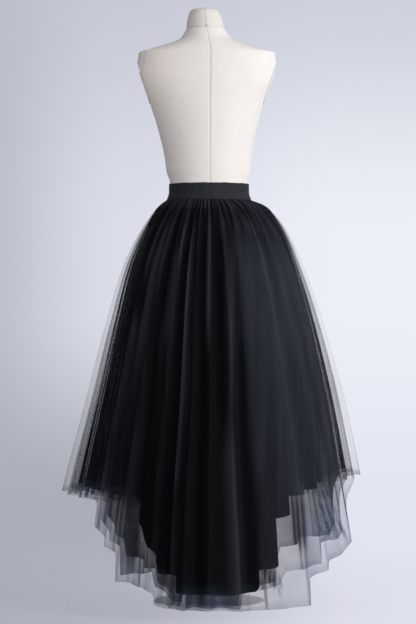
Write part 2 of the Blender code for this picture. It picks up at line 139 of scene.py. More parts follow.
TULLE_PANELS = {
    Side.BACK: Panel(-90.0, 90.0, table(
        Fold,
        (-83.5, 0.00, -77.0, 0.55, 1.4, 1.4, 0.5, 0.90),
        (-70.5, 0.00, -65.5, 0.60, 1.4, 1.4, 0.6, 0.80),
        (-60.0, 0.05, -53.0, 0.60, 1.4, 1.4, 0.8, 0.75),
        (-45.5, 0.00, -42.5, 0.40, 1.3, 1.6, 0.5, 0.80),
        (-39.5, 0.00, -36.5, 0.18, 1.5, 1.5, 0.8, 0.70),
        (-33.0, 0.02, -30.0, 0.60, 1.5, 3.0, 0.6, 0.60),
        (-26.0, 0.30, -24.4, 0.34, 1.2, 1.2, 0.6, 0.60),
        (-21.0, 0.05, -17.0, 0.80, 1.4, 2.2, 0.5, 0.45),
        (-13.5, 0.20, -12.1, 0.50, 2.4, 2.0, 1.0, 1.50),
        (-8.8, 0.20, -5.2, 0.85, 1.2, 2.6, 0.5, 0.40),
        (0.0, 0.30, 3.8, 0.80, 1.8, 2.0, 0.2, 0.50),
        (9.5, 0.05, 14.2, 0.35, 2.0, 1.6, 0.4, 0.68),
        (20.5, 0.12, 26.0, 0.20, 2.0, 1.4, 0.2, 1.00),
        (33.6, 0.04, 39.5, 0.24, 1.4, 1.6, 0.8, 1.00),
        (43.5, 0.05, 50.0, 0.22, 1.8, 1.3, 0.5, 1.00),
        (57.8, 0.00, 64.0, 0.45, 1.3, 1.6, 0.7, 1.00),
        (71.0, 0.00, 78.0, 0.55, 1.4, 1.4, 0.6, 1.00),
        (84.5, 0.00, 90.0, 0.85, 1.4, 1.4, 0.5, 0.95),
    )),
    Side.FRONT: Panel(90.0, 270.0, table(
        Fold,
        (96.5, 0.60, 103.0, 0.90, 1.4, 1.4, 0.5),
        (110.5, 0.15, 118.0, 0.80, 1.4, 1.4, 0.5),
        (125.0, 0.00, 131.5, 1.00, 1.4, 2.0, 0.8),
        (138.0, 0.15, 145.0, 0.75, 1.4, 1.4, 0.4),
        (152.0, 0.00, 160.5, 0.95, 2.0, 1.4, 0.7),
        (168.0, 0.05, 174.0, 0.85, 1.4, 1.8, 0.5),
        (181.0, 0.12, 188.0, 0.70, 1.4, 1.4, 0.3),
        (194.0, 0.00, 202.0, 0.90, 1.8, 1.4, 0.6),
        (209.0, 0.08, 216.5, 1.00, 1.4, 2.2, 0.7),
        (224.0, 0.00, 232.5, 0.80, 1.4, 1.4, 0.5),
        (240.0, 0.10, 247.0, 0.95, 1.4, 1.4, 0.7),
        (253.0, 0.30, 259.0, 0.90, 1.4, 1.4, 0.6),
        (264.0, 0.62, 270.0, 0.85, 1.4, 1.4, 0.5),
    )),
}
LINING_PANELS = {
    Side.BACK: Panel(-90.0, 90.0, table(
        Fold,
        (-80.0, 0.00, -72.5, 0.85),
        (-65.0, 0.10, -57.5, 0.90),
        (-50.0, 0.00, -43.5, 1.00),
        (-37.0, 0.15, -31.0, 0.90),
        (-25.5, 0.00, -20.0, 1.00),
        (-14.5, 0.00, -6.0, 0.20),
        (3.0, 0.05, 12.0, 0.20),
        (21.5, 0.00, 26.5, 1.00),
        (31.5, 0.00, 36.0, 0.95),
        (41.0, 0.00, 47.5, 1.00),
        (54.0, 0.15, 60.5, 0.85),
        (67.0, 0.00, 73.0, 0.90),
        (79.0, 0.00, 90.0, 0.85),
    )),
    Side.FRONT: Panel(90.0, 270.0, table(
        Fold,
        (103.0, 0.00, 112.0, 0.90),
        (121.0, 0.10, 130.0, 0.80),
        (139.0, 0.00, 148.5, 0.95),
        (158.0, 0.10, 167.5, 0.80),
        (177.0, 0.00, 187.0, 0.90),
        (197.0, 0.12, 207.0, 0.85),
        (217.0, 0.00, 227.0, 0.95),
        (237.0, 0.10, 246.0, 0.85),
        (255.0, 0.00, 270.0, 0.85),
    )),
}
SEAM_SHARE = 0.85  # the side seams lie in a valley of this depth


class Hem(NamedTuple):
    """How far one layer hangs below the waistband at an angle."""

    angle: float
    drop: float


OUTER_HEM = table(
    Hem,
    (-90, 0.750), (-83.5, 0.752), (-70.5, 0.757), (-60, 0.761), (-52, 0.764), (-46.6, 0.768),
    (-45.6, 0.824), (-43.2, 0.846), (-39.8, 0.871), (-34.4, 0.886), (-33.2, 0.955), (-25.6, 0.967),
    (-20.3, 0.977), (-19.3, 1.004), (-13.3, 1.015), (-8, 1.021), (11, 1.021), (20, 1.020), (28, 1.016),
    (33.8, 1.013), (34.8, 0.948), (43.6, 0.931), (44.6, 0.910), (52, 0.899), (57.8, 0.868), (62, 0.830),
    (66, 0.760), (71, 0.714), (77, 0.710), (90, 0.712), (116, 0.741), (142, 0.787), (180, 0.818),
    (218, 0.812), (250, 0.774), (270, 0.750),
)
MIDDLE_HEM = table(
    Hem,
    (-90, 0.742), (-72, 0.746), (-60, 0.748), (-52, 0.750), (-47, 0.753), (-46, 0.806), (-41, 0.856),
    (-35, 0.872), (-33.4, 0.942), (-25, 0.935), (-21.3, 0.929), (-20.2, 0.966), (-14.8, 0.999),
    (-14, 1.010), (-9.8, 1.012), (-9.6, 0.984), (-8.3, 0.984), (-8.1, 1.017), (10.4, 1.018), (11.2, 0.984),
    (25.4, 0.962), (26.6, 0.932), (34, 0.928), (43, 0.917), (44.4, 0.866), (55, 0.860), (57, 0.848),
    (62, 0.818), (66, 0.750), (71, 0.706), (77, 0.702), (90, 0.705), (116, 0.733), (142, 0.778),
    (180, 0.808), (218, 0.802), (250, 0.766), (270, 0.742),
)
INNER_HEM = table(
    Hem,
    (-90, 0.734), (-72, 0.738), (-60, 0.740), (-52, 0.742), (-47.4, 0.745), (-46.4, 0.792), (-41, 0.840),
    (-36, 0.860), (-34, 0.895), (-27.4, 0.905), (-26.6, 0.925), (-21.4, 0.923), (-20.3, 0.960),
    (-14.8, 0.992), (-14, 1.003), (-9.8, 1.006), (-9.6, 0.976), (-8.3, 0.976), (-8.1, 1.012), (10.2, 1.013),
    (11, 0.972), (20, 0.962), (25.2, 0.956), (26.4, 0.874), (35, 0.868), (36.2, 0.852), (46, 0.852),
    (54.6, 0.853), (56.4, 0.828), (62, 0.806), (66, 0.744), (71, 0.699), (77, 0.696), (90, 0.697),
    (116, 0.725), (142, 0.770), (180, 0.798), (218, 0.790), (250, 0.757), (270, 0.734),
)
LINING_HEM = table(
    Hem,
    (-90, 0.735), (-72, 0.736), (-60, 0.738), (-48, 0.746), (-41, 0.795), (-36, 0.830), (-34.2, 0.880),
    (-30.5, 0.910), (-26, 0.918), (-24.9, 0.942), (-16.9, 0.960), (-15.7, 0.990), (-8, 0.994), (11, 0.996),
    (16, 0.992), (20.5, 0.986), (23.6, 0.966), (25.2, 0.944), (30, 0.934), (34, 0.918), (35.8, 0.818),
    (44.4, 0.790), (46.2, 0.765), (55, 0.752), (64, 0.745), (71, 0.735), (77, 0.730), (90, 0.720),
    (116, 0.735), (142, 0.755), (180, 0.765), (218, 0.760), (250, 0.745), (270, 0.735),
)


class Crease(NamedTuple):
    """A soft trough or ridge pressed into the cloth. It runs from angle_start at drop_start to
    angle_end at drop_end. depth is in metres, inwards if positive, width is in degrees, and mark says
    how much the pressed line shows in the net."""

    angle_start: float
    drop_start: float
    angle_end: float
    drop_end: float
    depth: float
    width: float
    mark: float = 0.0


TULLE_CREASES = table(
    Crease,
    (-52.0, -0.02, -53.0, 0.07, 0.0016, 1.1),
    (-41.0, -0.02, -42.5, 0.13, 0.0020, 1.0),
    (-31.0, -0.02, -31.5, 0.08, 0.0022, 1.0),
    (-24.0, -0.02, -24.0, 0.15, 0.0022, 0.8),
    (-14.7, -0.02, -15.2, 0.06, 0.0024, 0.7),
    (-9.2, -0.02, -10.0, 0.11, 0.0018, 0.6),
    (8.3, -0.02, 7.6, 0.09, 0.0020, 0.8),
    (12.0, -0.02, 12.4, 0.05, 0.0018, 0.6),
    (18.1, -0.02, 17.8, 0.10, 0.0030, 0.7),
    (26.7, -0.02, 26.2, 0.10, 0.0020, 0.8),
    (31.6, -0.02, 32.0, 0.06, 0.0018, 0.7),
    (36.7, -0.02, 36.0, 0.12, 0.0020, 0.9),
    (43.6, -0.02, 43.0, 0.08, 0.0020, 0.9),
    (51.6, -0.02, 52.4, 0.12, 0.0018, 1.0),
    (59.0, -0.02, 59.5, 0.06, 0.0016, 1.1),
    (15.2, 0.24, 14.2, 1.08, 0.0100, 1.4),
    (11.2, 0.40, 10.6, 1.08, 0.0050, 0.8),
    (-19.0, 0.30, -18.6, 1.06, 0.0050, 1.0),
    (-34.5, 0.16, -36.0, 0.80, 0.0040, 1.0),
    (-52.0, 0.10, -57.0, 0.52, 0.0022, 1.6),
    (-28.1, -0.02, -28.5, 0.34, 0.0036, 0.8),
    (-24.8, 0.03, -19.6, 0.28, 0.0034, 0.8),
    (-11.3, -0.02, -8.6, 0.30, 0.0036, 0.7),
    (5.4, 0.06, 8.6, 0.20, 0.0030, 0.7),
    (17.9, 0.10, 15.0, 0.34, 0.0030, 0.9),
    (-74.0, 0.34, -74.5, 0.78, 0.0010, 0.5, 0.7),
    (-66.5, 0.44, -66.0, 0.78, 0.0008, 0.4, 0.5),
    (-52.6, 0.38, -52.4, 0.80, 0.0010, 0.4, 0.9),
    (-45.0, 0.60, -44.6, 0.86, 0.0012, 0.4, 0.9),
    (-36.8, 0.66, -36.0, 0.90, 0.0012, 0.4, 0.9),
    (-32.2, 0.70, -30.6, 0.96, 0.0020, 0.5, 1.1),
    (-25.8, 0.86, -25.4, 0.99, 0.0010, 0.3, 1.0),
    (-18.0, 0.86, -18.6, 1.02, 0.0010, 0.3, 0.9),
    (17.5, 0.90, 23.6, 0.975, 0.0020, 0.5, 1.2),
    (19.5, 0.90, 24.6, 0.955, 0.0016, 0.4, 1.0),
    (35.6, 0.70, 33.9, 0.88, 0.0026, 0.9, 1.3),
    (62.0, 0.46, 63.0, 0.86, 0.0012, 0.5, 0.8),
    (-43.5, 0.62, -43.0, 0.84, 0.0012, 0.4, 0.5),
    (-41.0, 0.30, -38.0, 0.90, 0.0030, 1.4),
    (-29.5, 0.12, -31.0, 0.60, -0.0020, 1.2),
    (-16.5, 0.05, -16.0, 0.42, 0.0022, 0.9),
    (-6.0, 0.30, -5.0, 0.95, 0.0030, 1.1),
    (4.5, 0.02, 5.5, 0.30, 0.0018, 0.9),
    (15.4, 0.12, 14.9, 0.34, -0.0045, 0.45, 0.3),
    (18.4, 0.80, 18.6, 1.03, 0.0016, 0.3, 0.9),
    (24.0, 0.22, 22.5, 0.80, 0.0014, 2.6),
    (33.0, 0.05, 31.0, 0.45, -0.0016, 1.5),
    (43.0, 0.40, 45.5, 0.93, 0.0020, 1.6),
    (46.0, 0.66, 56.5, 0.88, 0.0040, 0.5, 1.0),
    (46.2, 0.70, 51.5, 0.88, 0.0030, 0.4, 0.8),
    (52.0, 0.18, 50.0, 0.66, 0.0024, 1.6),
    (68.0, 0.30, 66.0, 0.80, 0.0028, 1.8),
    (118.0, 0.12, 115.0, 0.62, 0.0026, 2.0),
    (145.0, 0.30, 147.0, 0.74, 0.0030, 2.2),
    (160.0, 0.06, 158.0, 0.40, -0.0020, 1.8),
    (188.0, 0.20, 186.0, 0.70, 0.0028, 2.0),
    (216.0, 0.10, 219.0, 0.56, 0.0024, 1.8),
    (247.0, 0.28, 245.0, 0.72, 0.0030, 2.0),
)
LINING_CREASES = table(
    Crease,
    (-44.0, 0.35, -47.0, 0.72, 0.0045, 2.0),
    (-20.0, 0.50, -18.0, 0.95, 0.0050, 1.4),
    (-6.0, 0.62, -4.5, 0.97, 0.0055, 1.3),
    (8.0, 0.55, 9.0, 0.98, 0.0040, 1.6),
    (15.0, 0.40, 16.0, 0.90, 0.0050, 1.5),
    (36.0, 0.45, 34.0, 0.80, 0.0045, 1.8),
    (130.0, 0.30, 127.0, 0.70, 0.0045, 2.4),
    (187.0, 0.35, 189.0, 0.74, 0.0050, 2.2),
    (228.0, 0.25, 226.0, 0.66, 0.0045, 2.2),
)

# Where a crease fades in and where it fades out, as shares of its length, and then the same of a glow.
CREASE_FADES = ((0.0, 0.35), (0.8, 1.05))
GLOW_FADES = ((-0.10, 0.20), (0.70, 1.20))


class LayerName(Enum):
    """The gathered layers, from the outside in."""

    OUTER = "tulle_outer"
    MIDDLE = "tulle_middle"
    INNER = "tulle_inner"
    LINING = "lining"


class Pressed(NamedTuple):
    """How many thicknesses of a layer lie pressed together at an angle."""

    angle: float
    plies: float


SINGLE = table(Pressed, (-90, 1.0), (270, 1.0))
OUTER_PRESSED = table(
    Pressed,
    (-90, 0.45), (-80, 0.5), (-70, 0.8), (-60, 0.95), (-45, 1.0), (40, 1.0), (56, 1.1), (66, 0.9),
    (76, 0.5), (84, 0.28), (92, 0.28), (100, 0.45), (120, 0.9), (240, 0.9), (258, 0.6), (270, 0.45),
)
MIDDLE_PRESSED = table(
    Pressed,
    (-90, 0.4), (-80, 0.45), (-70, 1.0), (-60, 1.4), (-44, 1.3), (-39, 1.2), (-36, 2.4), (-31, 2.4),
    (-29, 1.2), (-21, 1.4), (-20, 2.2), (10.6, 2.4), (11.3, 0.9), (36, 0.9), (37, 1.3), (56, 1.5),
    (66, 1.6), (76, 0.9), (84, 0.5), (92, 0.5), (102, 1.0), (130, 1.6), (230, 1.6), (256, 1.0), (270, 0.4),
)
INNER_PRESSED = table(
    Pressed,
    (-90, 1.0), (-79, 1.2), (-76, 2.4), (-72, 6.5), (-58, 6.5), (-44, 2.4), (-39, 2.0), (-36, 3.4),
    (-31, 3.4), (-29, 1.7), (-21, 2.0), (-20, 2.5), (10.4, 2.8), (11.1, 1.8), (26, 1.8), (34, 3.0),
    (45, 2.2), (56, 2.6), (63, 5.0), (73, 5.5), (77.5, 1.6), (90, 0.9), (103, 1.4), (110, 4.5), (130, 3.8),
    (230, 3.8), (249, 5.0), (256, 2.2), (270, 1.0),
)


class Lit(NamedTuple):
    """How much of its light the skirt gets at a drop, painted into the net's colour as shade: less under
    the waistband and towards the hem.
    """

    drop: float
    share: float


LIGHT_DOWN = table(
    Lit,
    (0.00, 0.62), (0.05, 0.62), (0.10, 0.68), (0.15, 0.84), (0.20, 0.97), (0.33, 0.97), (0.42, 0.88),
    (0.55, 0.87), (0.66, 0.82), (1.03, 0.78),
)


class Glow(NamedTuple):
    """A stretch of a fold painted lighter, as a painted highlight, or darker, as painted shade, if gain
    is below 0. It runs from angle_start at drop_start to angle_end at drop_end, and fades out by about
    width to both sides, in degrees."""

    angle_start: float
    drop_start: float
    angle_end: float
    drop_end: float
    width: float
    gain: float


GLOWS = table(
    Glow,
    (-53.5, 0.06, -44.5, 0.30, 3.2, -0.80),
    (-39.5, 0.06, -38.0, 0.42, 2.4, 0.45),
    (-28.8, 0.05, -31.8, 0.42, 2.0, -0.85),
    (-22.0, 0.05, -23.5, 0.38, 2.2, 0.55),
    (-17.2, 0.06, -18.6, 0.38, 1.6, -0.55),
    (-11.8, 0.05, -13.7, 0.34, 1.6, 0.25),
    (-6.6, 0.04, -7.2, 0.42, 1.9, -0.75),
    (0.2, 0.03, -0.9, 0.36, 1.15, 1.05),
    (7.8, 0.09, 3.4, 0.36, 1.6, -0.80),
    (15.0, 0.10, 10.8, 0.36, 1.4, 0.18),
    (-7.2, 0.36, -3.5, 1.14, 1.1, -0.70),
    (-18.3, 0.58, -18.3, 1.14, 1.3, -0.60),
    (-9.2, 0.40, -9.2, 1.14, 0.9, -0.40),
    (2.1, 0.58, 2.1, 1.14, 0.9, -0.60),
    (-13.0, 0.66, -13.0, 1.10, 1.8, -0.55),
    (8.0, 0.58, 8.0, 1.10, 2.6, 0.70),
    (19.0, 0.66, 19.0, 1.10, 4.0, -0.25),
    (33.6, 0.06, 33.6, 0.66, 1.2, -0.16),
    (43.5, 0.06, 43.5, 0.72, 1.3, -0.20),
    (57.8, 0.08, 57.8, 0.76, 1.6, -0.20),
)


class Thinned(NamedTuple):
    """How much of its cover the net loses at the side seams, at a drop."""

    drop: float
    lost: float


SIDE_THINNED = table(
    Thinned,
    (0.05, 0.0), (0.14, 0.55), (0.30, 0.62), (0.58, 0.42), (0.78, 0.38),
)


@dataclass(frozen=True)
class LayerPlan:
    """What sets one gathered layer apart from the others.

    inset and depth name columns of Level, fold_share is how much of the depth the folds keep,
    ripple_phase sets its waves off from the other layers', and cut_top_share is the cut's width at the
    waist as a share of its width at the hem.
    """

    name: LayerName
    inset: str | None
    depth: str
    fold_share: float
    hem: tuple[Hem, ...]
    panels: dict[Side, Panel]
    creases: tuple[Crease, ...]
    pressed: tuple[Pressed, ...]
    ripple_phase: float
    cut_top_share: float


LAYER_PLANS = table(
    LayerPlan,
    (LayerName.OUTER, None, "tulle_fold", 1.00, OUTER_HEM, TULLE_PANELS, TULLE_CREASES, OUTER_PRESSED,
     0.0, 0.5),
    (LayerName.MIDDLE, "middle", "tulle_fold", 0.95, MIDDLE_HEM, TULLE_PANELS, TULLE_CREASES, MIDDLE_PRESSED,
     2.1, 0.5),
    (LayerName.INNER, "inner", "tulle_fold", 0.90, INNER_HEM, TULLE_PANELS, TULLE_CREASES, INNER_PRESSED,
     4.4, 0.5),
    (LayerName.LINING, "lining", "lining_fold", 1.00, LINING_HEM, LINING_PANELS, LINING_CREASES, SINGLE,
     1.3, 0.45),
)


class Section(NamedTuple):
    """One horizontal section of the dress form. centre is where its middle is, in x."""

    height: float
    centre: float
    half_width: float
    back: float
    front: float


SHOULDER_CENTRE = -0.0058  # where the form's middle is at the armholes, in x
TORSO = table(
    Section,
    (0.7900, 0.0, 0.1500, 0.1080, 0.1120),
    (0.7980, 0.0, 0.1600, 0.1180, 0.1220),
    (0.8600, 0.0, 0.1620, 0.1200, 0.1220),
    (0.9400, 0.0, 0.1430, 0.1090, 0.1110),
    (1.0200, 0.0, 0.1100, 0.0905, 0.0920),
    (1.0480, 0.0, 0.1022, 0.0859, 0.0859),
    (1.0930, 0.0, 0.1011, 0.0853, 0.0853),
    (1.1050, -0.0004, 0.1030, 0.0856, 0.0856),
    (1.1200, -0.0010, 0.1083, 0.0868, 0.0890),
    (1.1600, -0.0026, 0.1125, 0.0900, 0.0980),
    (1.2300, -0.0040, 0.1273, 0.0950, 0.1180),
    (1.2800, -0.0054, 0.1410, 0.0980, 0.1260),
    (1.3000, SHOULDER_CENTRE, 0.1480, 0.0986, 0.1220),
    (1.3200, SHOULDER_CENTRE, 0.1590, 0.0990, 0.1180),
    (1.3500, SHOULDER_CENTRE, 0.1760, 0.0990, 0.1080),
    (1.3850, SHOULDER_CENTRE, 0.1860, 0.0960, 0.0960),
    (1.4150, SHOULDER_CENTRE, 0.1794, 0.0905, 0.0870),
    (1.4335, SHOULDER_CENTRE, 0.1768, 0.0845, 0.0790),
    (1.4435, -0.0056, 0.1468, 0.0800, 0.0740),
    (1.4545, -0.0058, 0.1092, 0.0745, 0.0690),
    (1.4690, -0.0070, 0.0700, 0.0665, 0.0620),
    (1.4950, -0.0092, 0.0497, 0.0540, 0.0510),
)
NECK = table(
    Section,
    (1.4953, -0.0092, 0.0490, 0.0530, 0.0500),
    (1.5080, -0.0104, 0.0474, 0.0500, 0.0480),
    (1.5360, -0.0116, 0.0398, 0.0445, 0.0435),
    (1.5455, -0.0118, 0.0320, 0.0360, 0.0350),
    (1.5480, -0.0118, 0.0200, 0.0240, 0.0230),
)


class SeamPull(NamedTuple):
    """How far the centre back seam is turned to the right of the form's middle at a height, in degrees."""

    height: float
    turn: float


BACK_SEAM = table(
    SeamPull,
    (1.020, 1.4), (1.120, 1.9), (1.280, 3.1), (1.350, 2.7), (1.415, 2.7), (1.4435, 3.2), (1.469, 3.8),
    (1.498, 3.4), (1.510, 2.5), (1.548, 0.0),
)


class BandSection(NamedTuple):
    """The waistband's outside at a share of its height, from its upper edge down."""

    share_of_height: float
    half_width: float
    half_depth: float


BAND_SECTIONS = table(
    BandSection,
    (0.00, 0.1040, 0.0880),
    (0.55, 0.1046, 0.0886),
    (1.00, 0.1108, 0.0946),
)

# ---------------------------------------------------------------- numbers and meshes


class SmoothCurve:
    """A curve through knots that never overshoots them.

    Between two knots it is a cubic. Its slope at a knot is the weighted harmonic mean of the slopes
    of the straight stretches on both sides, and zero where those have opposite signs.
    """

    def __init__(self, at: Sequence[float], values: Sequence[float]) -> None:
        """Work out the slopes.

        Args:
            at: The knots' places, in rising order.
            values: The curve's value at each knot.
        """
        self.at = np.asarray(at, dtype=float)
        self.values = np.asarray(values, dtype=float)
        gaps = np.diff(self.at)
        slopes = np.diff(self.values) / gaps
        left_weight = 2 * gaps[1:] + gaps[:-1]
        right_weight = gaps[1:] + 2 * gaps[:-1]
        same_sign = slopes[:-1] * slopes[1:] > 0
        safe_left = np.where(same_sign, slopes[:-1], 1.0)
        safe_right = np.where(same_sign, slopes[1:], 1.0)
        mean = (left_weight + right_weight) / (left_weight / safe_left + right_weight / safe_right)
        self.slopes = np.concatenate([slopes[:1], np.where(same_sign, mean, 0.0), slopes[-1:]])

    @classmethod
    def of(cls, rows: Sequence[Row], column: str) -> "SmoothCurve":
        """The curve of a table's column over its first column."""
        return cls([row[0] for row in rows], [getattr(row, column) for row in rows])

    def __call__(self, where: ndarray) -> ndarray:
        """The curve's values.

        Args:
            where: Places to read it at. Those outside the knots get the end's value.

        Returns:
            One value for each place.
        """
        where = np.clip(where, self.at[0], self.at[-1])
        index = np.clip(np.searchsorted(self.at, where, side="right") - 1, 0, len(self.at) - 2)
        gap = self.at[index + 1] - self.at[index]
        t = (where - self.at[index]) / gap
        return (
            (2 * t**3 - 3 * t**2 + 1) * self.values[index]
            + (t**3 - 2 * t**2 + t) * gap * self.slopes[index]
            + (3 * t**2 - 2 * t**3) * self.values[index + 1]
            + (t**3 - t**2) * gap * self.slopes[index + 1]
        )


def smooth_step(values: ndarray, start: float, end: float) -> ndarray:
    """0 before start, 1 after end and 3t^2 - 2t^3 between them."""
    t = np.clip((values - start) / (end - start), 0.0, 1.0)
    return t * t * (3 - 2 * t)


def bell(away: ndarray, width: float) -> ndarray:
    """1 where away is 0, and less to both sides: e^-(away / width)^2."""
    return np.exp(-((away / width) ** 2))


def cosine_rise(t: ndarray) -> ndarray:
    """A cosine wave that rises from 0 at t = 0 to 1 at t = 1, and falls back to 0 at t = 2."""
    return 0.5 - 0.5 * np.cos(np.pi * t)


def wave(angle: ndarray, count: int, phase: float | ndarray = 0.0) -> ndarray:
    """A sine wave with count crests in a whole turn. angle is in degrees and phase in radians."""
    return np.sin(np.radians(angle) * count + phase)


def nearest_turn(angle: ndarray) -> ndarray:
    """The same direction as an angle between -180 and 180 degrees."""
    return (angle + 180.0) % 360.0 - 180.0


def between_rows(rows: Sequence[Row], column: str, where: ndarray) -> ndarray:
    """A table's column by its first column, in straight stretches between the rows."""
    return np.interp(where, [row[0] for row in rows], [getattr(row, column) for row in rows])


def along_lines(
    lines: Sequence[Row], column: str, angle: ndarray, drop: ndarray, fades: tuple[Span, Span]
) -> ndarray:
    """Add up what a table of lines on the cloth does, each line bell-shaped across its width.

    Args:
        lines: Rows with a start, an end and a width, such as creases.
        column: What to add up.
        angle: Degrees round the waist.
        drop: Metres below the waistband.
        fades: Where a line fades in, and where it fades out, as shares of its length.

    Returns:
        The sum at each point.
    """
    total = np.zeros(np.broadcast(angle, drop).shape)
    fade_in, fade_out = fades
    for line in lines:
        run = (drop - line.drop_start) / (line.drop_end - line.drop_start)
        middle = line.angle_start + (line.angle_end - line.angle_start) * run
        fade = smooth_step(run, *fade_in) * (1 - smooth_step(run, *fade_out))
        total += getattr(line, column) * fade * bell(angle - middle, line.width)
    return total


def round_points(turn: ndarray, half_width: ndarray, half_depth: ndarray, height: ndarray) -> ndarray:
    """Points round an upright axis.

    Args:
        turn: Radians round the axis, 0 at the back and growing towards +X.
        half_width: How far out the point would be at the side.
        half_depth: How far out it would be at the back or front.
        height: Its height.

    Returns:
        The points, with one more axis of 3.
    """
    across, along = half_width * np.sin(turn), -half_depth * np.cos(turn)
    return np.stack(np.broadcast_arrays(across, along, height), axis=-1)


def whole_turn(steps: int) -> ndarray:
    """Angles in radians, evenly round a whole turn, as one row."""
    return np.linspace(0.0, 2 * np.pi, steps, endpoint=False)[None, :]


def surface_mesh(
    name: str,
    points: ndarray,
    around: bool = False,
    along: bool = False,
    caps: bool = False,
    uv: ndarray | None = None,
    attributes: dict[str, ndarray] | None = None,
) -> Object:
    """Make an object of quads from a grid of points, rows by columns.

    Rows run down the piece and columns round it with growing angle, which turns the faces outwards.

    Args:
        name: The piece's name.
        points: Rows by columns by 3, in metres.
        around: Join the last column to the first.
        along: Join the last row to the first.
        caps: Close the first and last rows with a fan to a middle point.
        uv: Rows by columns by 2, with one more column where around is set and one more row where along
            is set.
        attributes: Values for each point, rows by columns, by name.

    Returns:
        The new object, linked into the scene.
    """
    rows, columns = points.shape[:2]
    row, column = np.meshgrid(
        np.arange(rows if along else rows - 1), np.arange(columns if around else columns - 1), indexing="ij"
    )
    row, column = row.ravel(), column.ravel()
    next_row, next_column = (row + 1) % rows, (column + 1) % columns
    quads = np.stack(
        [
            row * columns + column,
            next_row * columns + column,
            next_row * columns + next_column,
            row * columns + next_column,
        ],
        axis=1,
    )
    vertices = points.reshape(-1, 3)
    loops, sizes = quads.ravel(), np.full(len(quads), 4)
    if caps:
        first = np.arange(columns)
        second = (first + 1) % columns
        last = (rows - 1) * columns
        top, bottom = len(vertices), len(vertices) + 1
        vertices = np.vstack([vertices, points[0].mean(axis=0), points[-1].mean(axis=0)])
        fans = np.vstack([
            np.stack([np.full(columns, top), first, second], axis=1),
            np.stack([np.full(columns, bottom), last + second, last + first], axis=1),
        ])
        loops = np.concatenate([loops, fans.ravel()])
        sizes = np.concatenate([sizes, np.full(len(fans), 3)])
    mesh = bpy.data.meshes.new(name)
    mesh.vertices.add(len(vertices))
    mesh.vertices.foreach_set("co", vertices.astype(np.float32).ravel())
    mesh.loops.add(len(loops))
    mesh.loops.foreach_set("vertex_index", loops.astype(np.int32))
    mesh.polygons.add(len(sizes))
    starts = np.concatenate([[0], np.cumsum(sizes)[:-1]])
    mesh.polygons.foreach_set("loop_start", starts.astype(np.int32))
    mesh.polygons.foreach_set("loop_total", sizes.astype(np.int32))
    mesh.polygons.foreach_set("use_smooth", np.ones(len(sizes), dtype=bool))
    mesh.update(calc_edges=True)
    if uv is not None:
        corners = np.stack(
            [uv[row, column], uv[row + 1, column], uv[row + 1, column + 1], uv[row, column + 1]], axis=1
        ).reshape(-1, 2)
        spare = np.zeros((len(loops) - len(corners), 2))
        layer = mesh.uv_layers.new(name="cloth")
        layer.data.foreach_set("uv", np.vstack([corners, spare]).astype(np.float32).ravel())
    for label, values in (attributes or {}).items():
        padded = np.concatenate([values.ravel(), np.zeros(len(vertices) - values.size)])
        mesh.attributes.new(label, "FLOAT", "POINT").data.foreach_set("value", padded.astype(np.float32))
    made = bpy.data.objects.new(name, mesh)
    bpy.context.scene.collection.objects.link(made)
    return made


def dress(piece: Object, finish: Material, slot: str, *nodes: str) -> None:
    """Give a piece its finish and its body, hide the solids that it stands for and log its slot.

    Args:
        piece: The finished object.
        finish: Its material.
        slot: The record's material slot.
        *nodes: The solids that the piece replaces.
    """
    piece.data.materials.append(finish)
    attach(piece, ROOT_BODY)
    if nodes:
        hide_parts(*nodes)
    LOG.info("%s: %d faces, slot %s", piece.name, len(piece.data.polygons), slot)


# ---------------------------------------------------------------- finishes


class Weave(NamedTuple):
    """A plain weave: how far apart its threads are both ways and how high they stand, in metres, and
    how strongly they show."""

    warp_pitch: float
    weft_pitch: float
    height: float
    strength: float


